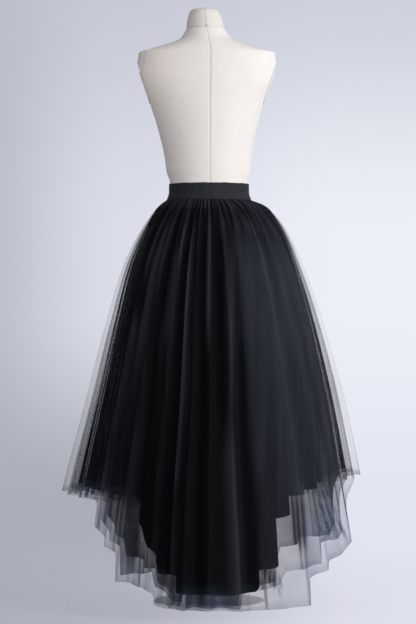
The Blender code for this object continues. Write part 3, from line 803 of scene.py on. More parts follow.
@dataclass
class Graph:
    """Adds and joins the nodes of one node tree."""

    tree: NodeTree

    def add(self, kind: str, **settings: object) -> Node:
        """Add a node.

        Args:
            kind: Such as ShaderNodeMath.
            **settings: The node's own properties.

        Returns:
            The node.
        """
        node = self.tree.nodes.new(kind)
        node.location = (180.0 * len(self.tree.nodes), 0.0)
        for key, value in settings.items():
            setattr(node, key, value)
        return node

    def feed(self, target: NodeSocket, value: object) -> None:
        """Link or set an input.

        Args:
            target: The input.
            value: A socket or a plain value.
        """
        if isinstance(value, NodeSocket):
            self.tree.links.new(value, target)
        else:
            target.default_value = value

    def fill(self, node: Node, values: dict[str | int, object]) -> Node:
        """Feed a node's inputs.

        Args:
            node: The node.
            values: Sockets or plain values, by the input's name or number.

        Returns:
            The same node.
        """
        for key, value in values.items():
            self.feed(node.inputs[key], value)
        return node

    def math(self, operation: str, *values: object, clamp: bool = False) -> NodeSocket:
        """One step of arithmetic on sockets or numbers, kept between 0 and 1 if clamp is set."""
        node = self.add("ShaderNodeMath", operation=operation, use_clamp=clamp)
        return self.fill(node, dict(enumerate(values))).outputs[0]

    def weighted(self, *terms: tuple[NodeSocket, object]) -> NodeSocket:
        """Add sockets up.

        Args:
            *terms: Each socket and its weight.

        Returns:
            The weighted sum.
        """
        products = [self.math("MULTIPLY", value, weight) for value, weight in terms]
        total = products[0]
        for product in products[1:]:
            total = self.math("ADD", total, product)
        return total

    def spread(
        self, value: NodeSocket, low: float, high: float, to_low: float = 0.0, to_high: float = 1.0
    ) -> NodeSocket:
        """Map a value smoothly from low..high to to_low..to_high, and no further."""
        node = self.add("ShaderNodeMapRange", interpolation_type="SMOOTHSTEP")
        return self.fill(node, dict(enumerate((value, low, high, to_low, to_high)))).outputs["Result"]

    def blend(self, share: object, first: object, second: object) -> NodeSocket:
        """Mix two colours.

        Args:
            share: How much of the second there is.
            first: A socket or a plain colour.
            second: Likewise.

        Returns:
            The mixed colour.
        """
        node = self.add("ShaderNodeMix", data_type="RGBA")
        sides = [(*value, 1.0) if isinstance(value, tuple) else value for value in (first, second)]
        return self.fill(node, {0: share, 6: sides[0], 7: sides[1]}).outputs[2]

    def attribute(self, name: str) -> NodeSocket:
        """The value of a mesh attribute."""
        return self.add("ShaderNodeAttribute", attribute_name=name).outputs["Fac"]

    def place(self, name: str = "Object") -> NodeSocket:
        """Texture coordinates: Object, UV or Generated."""
        return self.add("ShaderNodeTexCoord").outputs[name]

    def axes(self, vector: NodeSocket) -> NodeOutputs:
        """A vector's X, Y and Z."""
        return self.fill(self.add("ShaderNodeSeparateXYZ"), {0: vector}).outputs

    def group(self, tree: NodeTree, values: dict[str, object]) -> NodeSocket:
        """Place a node group with its inputs, and return its only output."""
        return self.fill(self.add("ShaderNodeGroup", node_tree=tree), values).outputs[0]

    def cloud(self, scale: float, on: str = "Object") -> NodeSocket:
        """Soft unevenness from 0 to 1, on Object or UV coordinates."""
        return self.group(cloud_group(), {"Vector": self.place(on), "Scale": scale})

    def woven(self, weave: Weave) -> NodeSocket:
        """A plain weave on the UV map.

        Args:
            weave: Its sizes.

        Returns:
            The shader's normal.
        """
        pitches = {"Warp Pitch": weave.warp_pitch, "Weft Pitch": weave.weft_pitch}
        height = self.group(weave_group(), {"Vector": self.place("UV")} | pitches)
        node = self.add("ShaderNodeBump")
        values = {"Height": height, "Distance": weave.height, "Strength": weave.strength}
        return self.fill(node, values).outputs["Normal"]


def new_group(
    name: str,
    inputs: dict[str, str],
    output: str,
    build: Callable[[Graph, NodeOutputs], NodeSocket],
) -> NodeTree:
    """Make a shader node group once.

    Args:
        name: The group's name.
        inputs: The kind of each input socket, Float or Vector, by name.
        output: The name of its only output, a number.
        build: Works the output out, given the group's graph and inputs.

    Returns:
        The group.
    """
    if name in bpy.data.node_groups:
        return bpy.data.node_groups[name]
    tree = bpy.data.node_groups.new(name, "ShaderNodeTree")
    for label, kind in inputs.items():
        tree.interface.new_socket(label, in_out="INPUT", socket_type=f"NodeSocket{kind}")
    tree.interface.new_socket(output, in_out="OUTPUT", socket_type="NodeSocketFloat")
    graph = Graph(tree)
    worked_out = build(graph, graph.add("NodeGroupInput").outputs)
    graph.feed(graph.add("NodeGroupOutput").inputs[0], worked_out)
    return tree


def net_group() -> NodeTree:
    """Six-sided net: 1 on the threads and 0 in the holes.

    The sum of three waves, 60 degrees apart, is highest in the middle of each hole and lowest along
    the net's threads.

    Returns:
        The group.
    """
    thread_sum, hole_sum = -1.4, 0.9

    def build(graph: Graph, given: NodeOutputs) -> NodeSocket:
        """The sum of the three waves, turned into threads."""
        waves = []
        for turn in (0.0, math.pi / 3, -math.pi / 3):
            dot = graph.add("ShaderNodeVectorMath", operation="DOT_PRODUCT")
            graph.fill(dot, {0: given["Vector"], 1: (math.cos(turn), math.sin(turn), 0.0)})
            turns = graph.math("DIVIDE", dot.outputs["Value"], given["Pitch"])
            waves.append(graph.math("COSINE", graph.math("MULTIPLY", turns, 2 * math.pi)))
        total = graph.math("ADD", graph.math("ADD", waves[0], waves[1]), waves[2])
        return graph.spread(total, thread_sum, hole_sum, 1.0, 0.0)

    return new_group("net", {"Vector": "Vector", "Pitch": "Float"}, "Threads", build)


def cloud_group() -> NodeTree:
    """Slow, soft unevenness, from 0 to 1: two sizes of noise added together.

    Returns:
        The group.
    """
    sizes_and_weights = ((1.0, 0.65), (3.7, 0.35))
    lowest, highest = 0.3, 0.7

    def build(graph: Graph, given: NodeOutputs) -> NodeSocket:
        """The sum of the two noises."""
        parts = []
        for size, weight in sizes_and_weights:
            scale = graph.math("MULTIPLY", given["Scale"], size)
            noise = graph.add("ShaderNodeTexNoise")
            graph.fill(noise, {"Vector": given["Vector"], "Scale": scale, "Detail": 3.0})
            parts.append((noise.outputs["Fac"], weight))
        return graph.spread(graph.weighted(*parts), lowest, highest)

    return new_group("cloud", {"Vector": "Vector", "Scale": "Float"}, "Cloud", build)


def streak_group() -> NodeTree:
    """Long, narrow unevenness down the cloth, from -0.5 to 0.5: noise drawn out along the folds.

    Returns:
        The group.
    """
    drawn_out = (1.0, 0.045, 1.0)
    lowest, highest = 0.32, 0.68

    def build(graph: Graph, given: NodeOutputs) -> NodeSocket:
        """The drawn-out noise."""
        stretch = graph.add("ShaderNodeVectorMath", operation="MULTIPLY")
        graph.fill(stretch, {0: given["Vector"], 1: drawn_out})
        noise = graph.add("ShaderNodeTexNoise")
        where = stretch.outputs["Vector"]
        graph.fill(noise, {"Vector": where, "Scale": 42.0, "Detail": 4.0, "Roughness": 0.62})
        return graph.spread(noise.outputs["Fac"], lowest, highest, -0.5, 0.5)

    return new_group("streaks", {"Vector": "Vector"}, "Streak", build)


def weave_group() -> NodeTree:
    """Plain weave as a height from 0 to 1: threads that run both ways and pass over each other.

    The height is the larger of two waves, one for each direction, each raised where its own thread
    crosses over.

    Returns:
        The group.
    """
    to_one = 0.6

    def build(graph: Graph, given: NodeOutputs) -> NodeSocket:
        """The larger of the two waves."""
        waves = []
        for along, pitch in zip(graph.axes(given["Vector"]), ("Warp Pitch", "Weft Pitch")):
            turns = graph.math("DIVIDE", along, given[pitch])
            waves.append(graph.math("SINE", graph.math("MULTIPLY", turns, 2 * math.pi)))
        over = graph.math("MULTIPLY", waves[0], waves[1])
        raised = graph.math("ADD", over, 1.0), graph.math("SUBTRACT", 1.0, over)
        warp, weft = (
            graph.math("MULTIPLY", graph.math("ABSOLUTE", thread), share)
            for thread, share in zip(waves, raised)
        )
        return graph.math("MULTIPLY", graph.math("MAXIMUM", warp, weft), to_one)

    inputs = {"Vector": "Vector", "Warp Pitch": "Float", "Weft Pitch": "Float"}
    return new_group("weave", inputs, "Height", build)


def principled(name: str, plain: dict[str, float]) -> tuple[Material, Graph, Node]:
    """A new material with a Principled shader.

    Args:
        name: The material's name.
        plain: Plain values for the shader's inputs, by name.

    Returns:
        The material, its graph and its shader.
    """
    material = bpy.data.materials.new(name)
    material.use_nodes = True
    graph = Graph(material.node_tree)
    return material, graph, graph.fill(material.node_tree.nodes["Principled BSDF"], plain)


@dataclass(frozen=True)
class Finish:
    """A material. Each kind of finish has its own plain values and adds its own nodes."""

    plain: ClassVar[dict[str, float]] = {}
    name: str

    def paint(self, graph: Graph, shader: Node) -> None:
        """Add the nodes that feed the shader."""
        raise NotImplementedError

    def build(self) -> Material:
        """Make the material.

        Returns:
            The material.
        """
        material, graph, shader = principled(self.name, self.plain)
        self.paint(graph, shader)
        return material


@dataclass(frozen=True)
class TulleFinish(Finish):
    """Black net that lets light through its holes, more or less of it by how it is gathered and turned.

    thread and shade are the colours of the threads and between them, hollow is painted shade deep in the
    folds, glint a painted highlight on a shining crest, backlit a painted backlight where no lining keeps
    the light out, and muted painted shade in a fold that gets less of its light. pitch is the net's, in
    metres. One flat ply covers ply_cover of what is behind it. streaks is how strong the streaks are in
    plain cloth and in the gathers, and gathers says how closely those are gathered.
    """

    plain = {"Roughness": 0.75, "Specular IOR Level": 0.06}
    thread: Colour
    shade: Colour
    hollow: Colour
    glint: Colour
    backlit: Colour = (0.046, 0.064, 0.122)
    muted: Colour = (0.030, 0.0305, 0.037)
    pitch: float = 0.0018
    ply_cover: float = 0.26
    crease_cover: float = 1.3
    least_cosine: float = 0.50
    cloud_scale: float = 7.0
    cloud_cover: float = 0.45
    thread_cover: float = 0.5
    even_cover: float = 0.55
    streaks: Span = (0.24, 0.36)
    gathers: Span = (1.5, 7.0)
    hollow_depth: Span = (0.08, 0.75)
    backlit_share: float = 0.7

    def paint(self, graph: Graph, shader: Node) -> None:
        """Feed the net's cover and colour.

        Cloth that is gathered to n times its width, and seen at an angle with cosine c, covers
        1 - (1 - ply_cover)^(n / c). The net's colour has painted shade deep in the folds, where less light
        reaches it, and in folds that get less of their light, a painted highlight along a shining crest and
        in the brighter glows, and a bluer painted backlight where it hangs open, with no lining behind it to
        keep the light out. Streaks along the folds, stronger in the gathers, make it uneven.

        Args:
            graph: The material's graph.
            shader: Its Principled shader.
        """
        net = graph.group(net_group(), {"Vector": graph.place("UV"), "Pitch": self.pitch})
        streak = graph.group(streak_group(), {"Vector": graph.place("UV")})
        gathered = graph.attribute("gathered")
        facing = graph.add("ShaderNodeLayerWeight").outputs["Facing"]
        cosine = graph.math("MAXIMUM", graph.math("SUBTRACT", 1.0, facing), self.least_cosine)
        cloud = graph.cloud(self.cloud_scale, "UV")
        uneven = graph.weighted((cloud, self.cloud_cover), (net, self.thread_cover))
        uneven = graph.math("ADD", uneven, self.even_cover)
        lines = graph.math("MULTIPLY", graph.attribute("crease"), self.crease_cover)
        plies = graph.math("MULTIPLY", graph.math("ADD", gathered, lines), uneven)
        passed = graph.math("POWER", 1.0 - self.ply_cover, graph.math("DIVIDE", plies, cosine))
        strength = graph.spread(gathered, *self.gathers, *self.streaks)
        deep = graph.math("ADD", graph.attribute("deep"), graph.math("MULTIPLY", streak, strength))
        hung_open = graph.math("MULTIPLY", graph.attribute("open"), self.backlit_share)
        base = graph.blend(net, self.shade, self.thread)
        # Painted light and shade on the net: shade where a fold gets less light and deep in the folds, a
        # bluer backlight where it hangs open, and a highlight on shining crests.
        for share, colour in (
            (graph.attribute("dull"), self.muted),
            (graph.spread(deep, *self.hollow_depth), self.hollow),
            (hung_open, self.backlit),
            (graph.attribute("glint"), self.glint),
        ):
            base = graph.blend(share, base, colour)
        graph.fill(shader, {"Alpha": graph.math("SUBTRACT", 1.0, passed, clamp=True), "Base Color": base})


@dataclass(frozen=True)
class CloudyFinish(Finish):
    """A finish whose colour and roughness vary a little, in soft clouds of one scale. coordinates says
    what the clouds lie on, and weave is for cloth alone."""

    coordinates: ClassVar[str] = "Object"
    cloud_scale: ClassVar[float]
    roughness: ClassVar[Span]
    weave: ClassVar[Weave | None] = None
    colour: Colour
    shade: Colour

    def paint(self, graph: Graph, shader: Node) -> None:
        """Feed the colour, the roughness and the weave.

        Args:
            graph: The material's graph.
            shader: Its Principled shader.
        """
        cloud = graph.cloud(self.cloud_scale, self.coordinates)
        roughness = graph.spread(cloud, 0.0, 1.0, *self.roughness)
        colour = graph.blend(cloud, self.shade, self.colour)
        graph.fill(shader, {"Base Color": colour, "Roughness": roughness})
        if self.weave:
            graph.feed(shader.inputs["Normal"], graph.woven(self.weave))


@dataclass(frozen=True)
class LiningFinish(CloudyFinish):
    """Opaque black lining, nearly matt."""

    plain = {"Specular IOR Level": 0.06}
    coordinates = "UV"
    cloud_scale = 4.0
    roughness = (0.62, 0.72)
    weave = Weave(0.0009, 0.0007, 0.00008, 0.15)


@dataclass(frozen=True)
class EnamelFinish(CloudyFinish):
    """Smooth enamel, faintly uneven."""

    plain = {"Coat Weight": 0.15}
    cloud_scale = 18.0
    roughness = (0.30, 0.42)


@dataclass(frozen=True)
class SteelFinish(CloudyFinish):
    """Bright steel of a dressmaker's pin."""

    plain = {"Metallic": 1.0}
    cloud_scale = 400.0
    roughness = (0.28, 0.40)


@dataclass(frozen=True)
class ElasticFinish(Finish):
    """Woven black elastic: matt cords with painted shade in the gaps between them, uneven in soft clouds."""

    plain = {"Roughness": 0.72, "Specular IOR Level": 0.18}
    cord: Colour
    gap: Colour
    cloud_scale: float = 70.0
    unevenness: Span = (0.55, 1.15)
    weave: Weave = Weave(0.0016, 0.0011, 0.00015, 0.4)

    def paint(self, graph: Graph, shader: Node) -> None:
        """Feed the colour, by how far a cord stands out, with painted shade in the gaps and along the
        creases, and the weave.

        Args:
            graph: The material's graph.
            shader: Its Principled shader.
        """
        clouds = graph.spread(graph.cloud(self.cloud_scale, "UV"), 0.0, 1.0, *self.unevenness)
        raised = graph.math("MULTIPLY", graph.attribute("rib"), clouds)
        colour = graph.blend(raised, self.gap, self.cord)
        graph.fill(shader, {"Base Color": colour, "Normal": graph.woven(self.weave)})


@dataclass(frozen=True)
class CanvasFinish(Finish):
    """Cream canvas over padding, a little darker in its seams, with a painted warm shade on its left, the
    side away from the key light. left says where, in x, the painted warmth starts and where it is
    complete."""

    plain = {"Roughness": 0.88, "Specular IOR Level": 0.2}
    cloth: Colour
    worn: Colour
    seam: Colour
    aged: Colour = (0.86, 0.787, 0.728)
    left: Span = (-0.03, -0.17)
    cloud_scale: float = 6.0
    grain_scale: float = 80.0
    grain_share: float = 0.10
    weave: Weave = Weave(0.0012, 0.0012, 0.0002, 0.35)

    def paint(self, graph: Graph, shader: Node) -> None:
        """Feed the colour and the weave.

        Args:
            graph: The material's graph.
            shader: Its Principled shader.
        """
        base = graph.blend(graph.cloud(self.cloud_scale), self.worn, self.cloth)
        # Painted warm shade towards the form's left, the side away from the key light.
        base = graph.blend(graph.spread(graph.axes(graph.place())["X"], *self.left), base, self.aged)
        grain = graph.math("MULTIPLY", graph.cloud(self.grain_scale), self.grain_share)
        for share in (grain, graph.attribute("seam")):
            base = graph.blend(share, base, self.seam)
        graph.fill(shader, {"Base Color": base, "Normal": graph.woven(self.weave)})


# ---------------------------------------------------------------- the skirt


class SkirtShape:
    """The skirt's outline, read smoothly from the levels."""

    at_band: Span = (0.0, 0.008)

    def __init__(self, levels: Sequence[Level], top: float) -> None:
        """Make a curve of each column. top is the height where the gathered layers start."""
        self.top = top
        self.curves = {name: SmoothCurve.of(levels, name) for name in Level._fields[1:]}

    def column(self, name: str, drop: ndarray) -> ndarray:
        """A column of the levels at any drop."""
        return self.curves[name](drop)

    def place(self, angle: ndarray, inset: ndarray, drop: ndarray) -> ndarray:
        """Points in space.

        Each quarter of the outline is part of an ellipse, and an inset points inwards and, near the
        waistband, also down, but not at the very edge, where every layer is sewn to the band.

        Args:
            angle: Degrees round the waist.
            inset: Metres inside the outline.
            drop: Metres below the waistband.

        Returns:
            The points, with one more axis of 3.
        """
        turn = np.radians(angle)
        half_width = np.where(np.sin(turn) < 0, self.column("left", drop), self.column("right", drop))
        half_depth = np.where(np.cos(turn) > 0, self.column("back", drop), self.column("front", drop))
        lean = np.radians(self.column("lean", drop))
        inwards = inset * np.cos(lean)
        down = inset * np.sin(lean) * smooth_step(drop, *self.at_band)
        return round_points(turn, half_width - inwards, half_depth - inwards, self.top - drop - down)


@dataclass(frozen=True)
class FoldColumns:
    """A panel's columns of points: for each, its angle, its place between crest (0) and valley (1), the
    shares of its crest and valley, how steeply its side leaves the crest, how crisp the crest is,
    and how much light the fold gets."""

    angle: ndarray
    t: ndarray
    short: ndarray
    valley: ndarray
    power: ndarray
    crisp: ndarray
    lit: ndarray

    @property
    def gather(self) -> ndarray:
        """The small gathers, two to a fold, from crest (0) to valley (1)."""
        return cosine_rise(2 * self.t)


# Where half a fold's columns are, from its crest (0) to its valley (1).
HALF_FOLD = np.array([0.0, 0.03, 0.08, 0.16, 0.27, 0.40, 0.54, 0.68, 0.84, 1.0])


def fold_columns(panel: Panel) -> FoldColumns:
    """Lay a panel's columns out from seam to seam.

    Args:
        panel: The panel's folds.

    Returns:
        Its columns, closer together near the crests, and more so on a steep side.
    """
    parts: list[tuple[ndarray, ...]] = []
    valley_angle, valley = panel.start, SEAM_SHARE
    for fold in panel.folds:
        halves = (
            (valley_angle, valley, fold.rise, slice(None, 0, -1)),
            (fold.valley_angle, fold.valley, fold.fall, slice(0, -1)),
        )
        for far_angle, far_share, power, order in halves:
            t = ((HALF_FOLD + 1 - (1 - HALF_FOLD) ** (1 / power)) / 2)[order]
            even = [np.full(len(t), value) for value in (fold.short, far_share, power, fold.crisp)]
            parts.append((fold.crest + (far_angle - fold.crest) * t, t, *even))
        valley_angle, valley = fold.valley_angle, fold.valley
    parts.append(tuple(np.array([value]) for value in (panel.end, 1.0, 0.0, SEAM_SHARE, 1.0, 0.5)))
    together = [np.concatenate(column) for column in zip(*parts)]
    return FoldColumns(*together, between_rows(panel.folds, "lit", together[0]))


@dataclass
class GatheredPanel:
    """The front or back panel of one gathered layer.

    row_power crowds the rows of points towards the waistband, wander is how far the folds drift
    sideways, in degrees, and seam_calm how far off a side seam, in degrees, they are free to do so.
    small_share is the small gathers' unevenness as a share of the fold's depth. hem_wave, ripple and
    wall are in metres. A pair says where a change starts and where it is complete, in metres below
    the waistband.
    """

    shape: SkirtShape
    plan: LayerPlan
    side: Side
    rows: int = 76
    row_power: float = 1.7
    wander: float = 0.6
    wanders: Span = (0.02, 0.5)
    seam_calm: float = 8.0
    hem_wave: float = 0.0006
    gathers_open: Span = (0.0, GATHERS_OPEN * 1.15)
    small_share: float = 0.12
    ripple: float = 0.0022
    ripples: Span = (0.15, 0.9)
    wall: float = 0.0008

    @property
    def node(self) -> str:
        """The solid that the piece stands for."""
        return f"{self.plan.name.value}_{self.side.value}"

    @property
    def is_lining(self) -> bool:
        """True for the opaque layer."""
        return self.plan.name is LayerName.LINING

    def hem_drop(self, angle: ndarray) -> ndarray:
        """How far the panel hangs: straight stretches between the hem's corners, with a slight
        wave of under 3 mm where it isn't on a seam.

        Args:
            angle: Degrees round the waist.

        Returns:
            Metres below the waistband.
        """
        phase = self.plan.ripple_phase
        waves = 2.0 + wave(angle, 23, phase) + wave(angle, 41, 2 * phase)
        return between_rows(self.plan.hem, "drop", angle) - self.hem_wave * waves * self.off_seam(angle)

    def off_seam(self, angle: ndarray) -> ndarray:
        """0 at the side seams and 1 from seam_calm off them."""
        panel = self.plan.panels[self.side]
        return smooth_step(np.minimum(angle - panel.start, panel.end - angle), 0.0, self.seam_calm)

    def drift(self, angle: ndarray, drop: ndarray) -> ndarray:
        """How far the folds wander sideways, in slow waves that grow with the drop.

        Args:
            angle: Degrees round the waist.
            drop: Metres below the waistband.

        Returns:
            Degrees.
        """
        waves = 0.55 * wave(angle, 7, 5.0 * drop) + 0.35 * wave(angle, 13, 1.0 - 8.0 * drop)
        waves += 0.25 * wave(angle, 4, 14.0 * drop + 2.0)
        return self.wander * waves * smooth_step(drop, *self.wanders) * self.off_seam(angle)

    def creased(self, angle: ndarray, drop: ndarray, column: str) -> ndarray:
        """What the listed creases add up to, in depth or in mark."""
        return along_lines(self.plan.creases, column, angle, drop, CREASE_FADES) * self.off_seam(angle)

    def share(self, columns: FoldColumns) -> ndarray:
        """How deep in the folds each column is.

        Args:
            columns: The panel's columns.

        Returns:
            Each column's share of the fold's depth.
        """
        crisp = 0.0 if self.is_lining else columns.crisp
        soft = cosine_rise(columns.t)
        pressed = 1 - (1 - columns.t) ** columns.power
        fall = soft + crisp * (pressed - soft)
        return columns.short + (columns.valley - columns.short) * fall

    def inset(self, columns: FoldColumns, drop: ndarray) -> ndarray:
        """How far inside the outline each point lies.

        The fold falls from its crest as 1 - (1 - t)^power where it is pressed, which makes a sharp
        crest and a round valley, and as half a cosine wave where it is soft, as all of the lining is.
        Above GATHERS_OPEN it gives way to the small gathers, two to a fold.

        Args:
            columns: The panel's columns.
            drop: Rows by columns, in metres.

        Returns:
            The insets, rows by columns.
        """
        plan, angle, phase = self.plan, columns.angle, self.plan.ripple_phase
        opened = smooth_step(drop, *self.gathers_open)
        depth = self.shape.column(plan.depth, drop) * (1 - (1 - plan.fold_share) * opened)
        uneven = self.small_share * wave(angle, 61, 1.1 * phase) * (1 - opened)
        fold = columns.gather * (1 - opened) + self.share(columns) * opened + uneven
        stacked = self.shape.column(plan.inset, drop) if plan.inset else 0.0
        waves = wave(angle, 17, 9 * drop + phase) + 0.6 * wave(angle, 33, 2 * phase - 13 * drop)
        rippled = self.ripple * smooth_step(drop, *self.ripples) * self.off_seam(angle) * (0.8 + 0.5 * waves)
        return stacked + depth * fold + rippled + self.creased(angle, drop, "depth")

    def points(self) -> tuple[ndarray, ndarray, FoldColumns]:
        """Work the panel out.

        Returns:
            The points (rows by columns by 3), their drops, and the columns.
        """
        columns = fold_columns(self.plan.panels[self.side])
        share = np.linspace(0.0, 1.0, self.rows) ** self.row_power
        drop = share[:, None] * self.hem_drop(columns.angle)[None, :]
        angle = columns.angle[None, :] + self.drift(columns.angle[None, :], drop)
        points = self.shape.place(angle, self.inset(columns, drop), drop)
        towards_panel = -1.0 if self.side is Side.BACK else 1.0
        points[:, [0, -1], 1] = towards_panel * SEAM_GAP / 2
        return points, drop, columns

    def build(self, finish: Material) -> Object:
        """Make the panel, with its cloth's own coordinates and, on net, what its finish reads.

        The cut is as wide at the hem as the hem measured along its folds, and narrows evenly to
        cut_top_share of that at the waist.

        Args:
            finish: The panel's material.

        Returns:
            The finished piece.
        """
        points, drop, columns = self.points()
        steps = np.linalg.norm(np.diff(points, axis=1), axis=-1)
        width = float(steps[-1].sum())
        length = float(drop.max())
        part = np.concatenate([[0.0], np.cumsum(steps[-1])]) / width
        top_share = self.plan.cut_top_share
        cut_width = width * (top_share + (1 - top_share) * drop / length)
        uv = np.stack([cut_width * (part[None, :] - 0.5), -drop], axis=-1)
        cloth_steps = np.diff(part)[None, :] * (cut_width[:, 1:] + cut_width[:, :-1]) / 2
        shades = {} if self.is_lining else NetShades(self, columns, drop).all(cloth_steps, steps)
        piece = surface_mesh(f"skirt_{self.node}", points, uv=uv, attributes=shades)
        if self.is_lining:
            wall = piece.modifiers.new("wall", "SOLIDIFY")
            wall.thickness = self.wall
            wall.offset = -1.0
        dress(piece, finish, "lining_black" if self.is_lining else "tulle_black", self.node)
        return piece


@dataclass
class NetShades:
    """What the net's finish reads at each point of a panel: how closely the net is gathered, its crease
    lines, its painted shade in the folds and where a fold gets less light, its painted highlights, and
    where it hangs open, for its painted backlight.

    A pair says where a change starts and where it is complete, in metres below the waistband. at_side
    is in |sin(angle)|, hem_edge in metres below the panel's own hem and past_lining in metres below
    the lining's. The sizes after the pairs are shares or gains of the shades that they are named for.
    """

    panel: GatheredPanel
    columns: FoldColumns
    drop: ndarray
    sewn: Span = (0.0, 0.03)
    sewn_edge: Span = (0.002, 0.011)
    gathers_run_out: Span = (0.0, 0.06)
    lit_below: Span = (0.03, 0.22)
    crisp_below: Span = (0.10, 0.75)
    creases_grow: Span = (0.5, 0.85)
    glints_end: Span = (0.40, 0.62)
    sides_open: Span = (0.02, 0.2)
    at_side: Span = (0.925, 0.985)
    hem_edge: Span = (-0.004, -0.001)
    past_lining: Span = (-0.04, 0.03)
    packed: Span = (0.7, 7.0)
    sewn_plies: float = 6.0
    crest_width: float = 0.07
    least_crisp: float = 0.35
    crease_growth: float = 2.2
    hem_line: float = 0.5
    # How strongly, and how far at most, a fold that gets less light is painted darker, as painted shade.
    dull_gain: float = 2.5
    most_dull: float = 0.8
    glow_glint: float = 0.30
    most_glow: float = 1.5
    gather_depth: float = 0.9
    deepest_crease: float = 0.010
    most_creased: float = 0.7
    side_open: float = 0.35

    def __post_init__(self) -> None:
        """Work out what several shades need: each point's light, side share, crest line and gathers."""
        columns, drop = self.columns, self.drop
        turn = np.radians(columns.angle)
        self.side = smooth_step(np.abs(np.sin(turn)), *self.at_side)[None, :]
        self.crest = bell(columns.t, self.crest_width)[None, :]
        self.lit = 1 + (columns.lit - 1)[None, :] * smooth_step(drop, *self.lit_below)
        self.glow = 1 + along_lines(GLOWS, "gain", columns.angle, drop, GLOW_FADES)
        self.gather = (columns.gather * (0.62 + 0.38 * wave(columns.angle, 37, 1.0)))[None, :]

    def gathered(self, cloth_steps: ndarray, steps: ndarray) -> ndarray:
        """How many thicknesses of net lie over each other.

        That is the cut's width between two columns over the width it hangs in, times the plies pressed
        together, and more at the waistband's seam. The net is thinned at the sides.

        Args:
            cloth_steps: The cut's width between each two columns.
            steps: The hung width between them.

        Returns:
            The thicknesses, rows by columns.
        """
        ratio = np.clip(cloth_steps / np.maximum(steps, 1e-6), *self.packed)
        before, after = np.pad(ratio, ((0, 0), (1, 0)), "edge"), np.pad(ratio, ((0, 0), (0, 1)), "edge")
        plies = between_rows(self.panel.plan.pressed, "plies", self.columns.angle)[None, :]
        plies = plies + self.sewn_plies * (1 - smooth_step(self.drop, *self.sewn))
        thinned = 1 - self.side * between_rows(SIDE_THINNED, "lost", self.drop)
        return (before + after) / 2 * plies * thinned

    def crease(self) -> ndarray:
        """The pressed lines: along crisp crests, in the marked creases and at the hem's edge.

        Returns:
            One value for each point, rows by columns.
        """
        crisp = np.clip(self.columns.crisp - self.least_crisp, 0.0, 1.0)[None, :]
        lines = self.crest * crisp * smooth_step(self.drop, *self.crisp_below)
        lines = lines + self.panel.creased(self.columns.angle, self.drop, "mark")
        lines = lines * (1 + self.crease_growth * smooth_step(self.drop, *self.creases_grow))
        return lines + self.hem_line * smooth_step(self.drop - self.drop[-1], *self.hem_edge)

    def deep(self) -> ndarray:
        """How dark the net is painted, as painted shade: 0 on a lit crest and 1 in a valley, in deep creases
        or out of the light, and in a thin painted shadow just under the waistband.

        Returns:
            One value for each point, rows by columns.
        """
        # Painted shade: deep in the folds and the gathers, in deep creases, and where a fold gets less light.
        opened = smooth_step(self.drop, *self.gathers_run_out)
        folds = self.panel.share(self.columns)[None, :] * opened
        deep = folds + self.gather_depth * self.gather * (1 - opened)
        depth = self.panel.creased(self.columns.angle, self.drop, "depth") / self.deepest_crease
        deep = deep + np.clip(depth, 0.0, self.most_creased)
        light = np.minimum(self.lit * self.glow, 1.0) * between_rows(LIGHT_DOWN, "share", self.drop)
        # A painted shadow in a thin ring just under the waistband, darker in the gathers.
        edge = (0.25 + 0.7 * self.gather) * (1 - smooth_step(self.drop, *self.sewn_edge))
        return np.maximum(1 - (1 - deep) * light, edge)

    def glint(self) -> ndarray:
        """Where the net gets a painted highlight: on the crests with more than all their light, and in the
        brighter glows.

        Returns:
            One value for each point, rows by columns.
        """
        shining = self.crest * np.clip(self.lit - 1, 0.0, 1.0)
        shining = shining * (1 - smooth_step(self.drop, *self.glints_end))
        return np.clip(shining + self.glow_glint * np.clip(self.glow - 1, 0.0, self.most_glow), 0.0, 1.0)

    def hung_open(self) -> ndarray:
        """Where no lining is behind the net, which the finish paints bluer as a backlight: under the lining's
        hem, and in part at the sides.

        Returns:
            One value for each point, rows by columns.
        """
        past = self.drop - between_rows(LINING_HEM, "drop", self.columns.angle)
        side = self.side_open * self.side * smooth_step(self.drop, *self.sides_open)
        return np.maximum(smooth_step(past, *self.past_lining), side)

    def all(self, cloth_steps: ndarray, steps: ndarray) -> dict[str, ndarray]:
        """Every shade.

        Args:
            cloth_steps: The cut's width between each two columns.
            steps: The hung width between them.

        Returns:
            The shades by their attributes' names.
        """
        return {
            "gathered": self.gathered(cloth_steps, steps),
            "crease": self.crease(),
            "deep": self.deep(),
            # Painted shade where a fold gets less of its light.
            "dull": np.clip(self.dull_gain * (1 - self.lit), 0.0, self.most_dull),
            "glint": self.glint(),
            "open": self.hung_open(),
        }


class BandCrease(NamedTuple):
    """An upright crease painted on the elastic: painted shade across about width degrees, or a painted
    highlight if depth is below 0."""

    angle: float
    width: float
    depth: float


BAND_CREASES = table(
    BandCrease,
    (-34.0, 2.0, 0.25), (-25.0, 1.2, 0.30), (-14.0, 1.6, 0.35), (-5.0, 2.2, -0.15), (12.0, 4.0, -0.25),
    (25.0, 1.5, 0.35), (41.0, 3.0, 0.20), (96.0, 4.0, 0.25), (143.0, 5.0, 0.30), (-151.0, 6.0, 0.25),
    (-112.0, 4.0, 0.25), (-70.0, 3.0, 0.25),
)


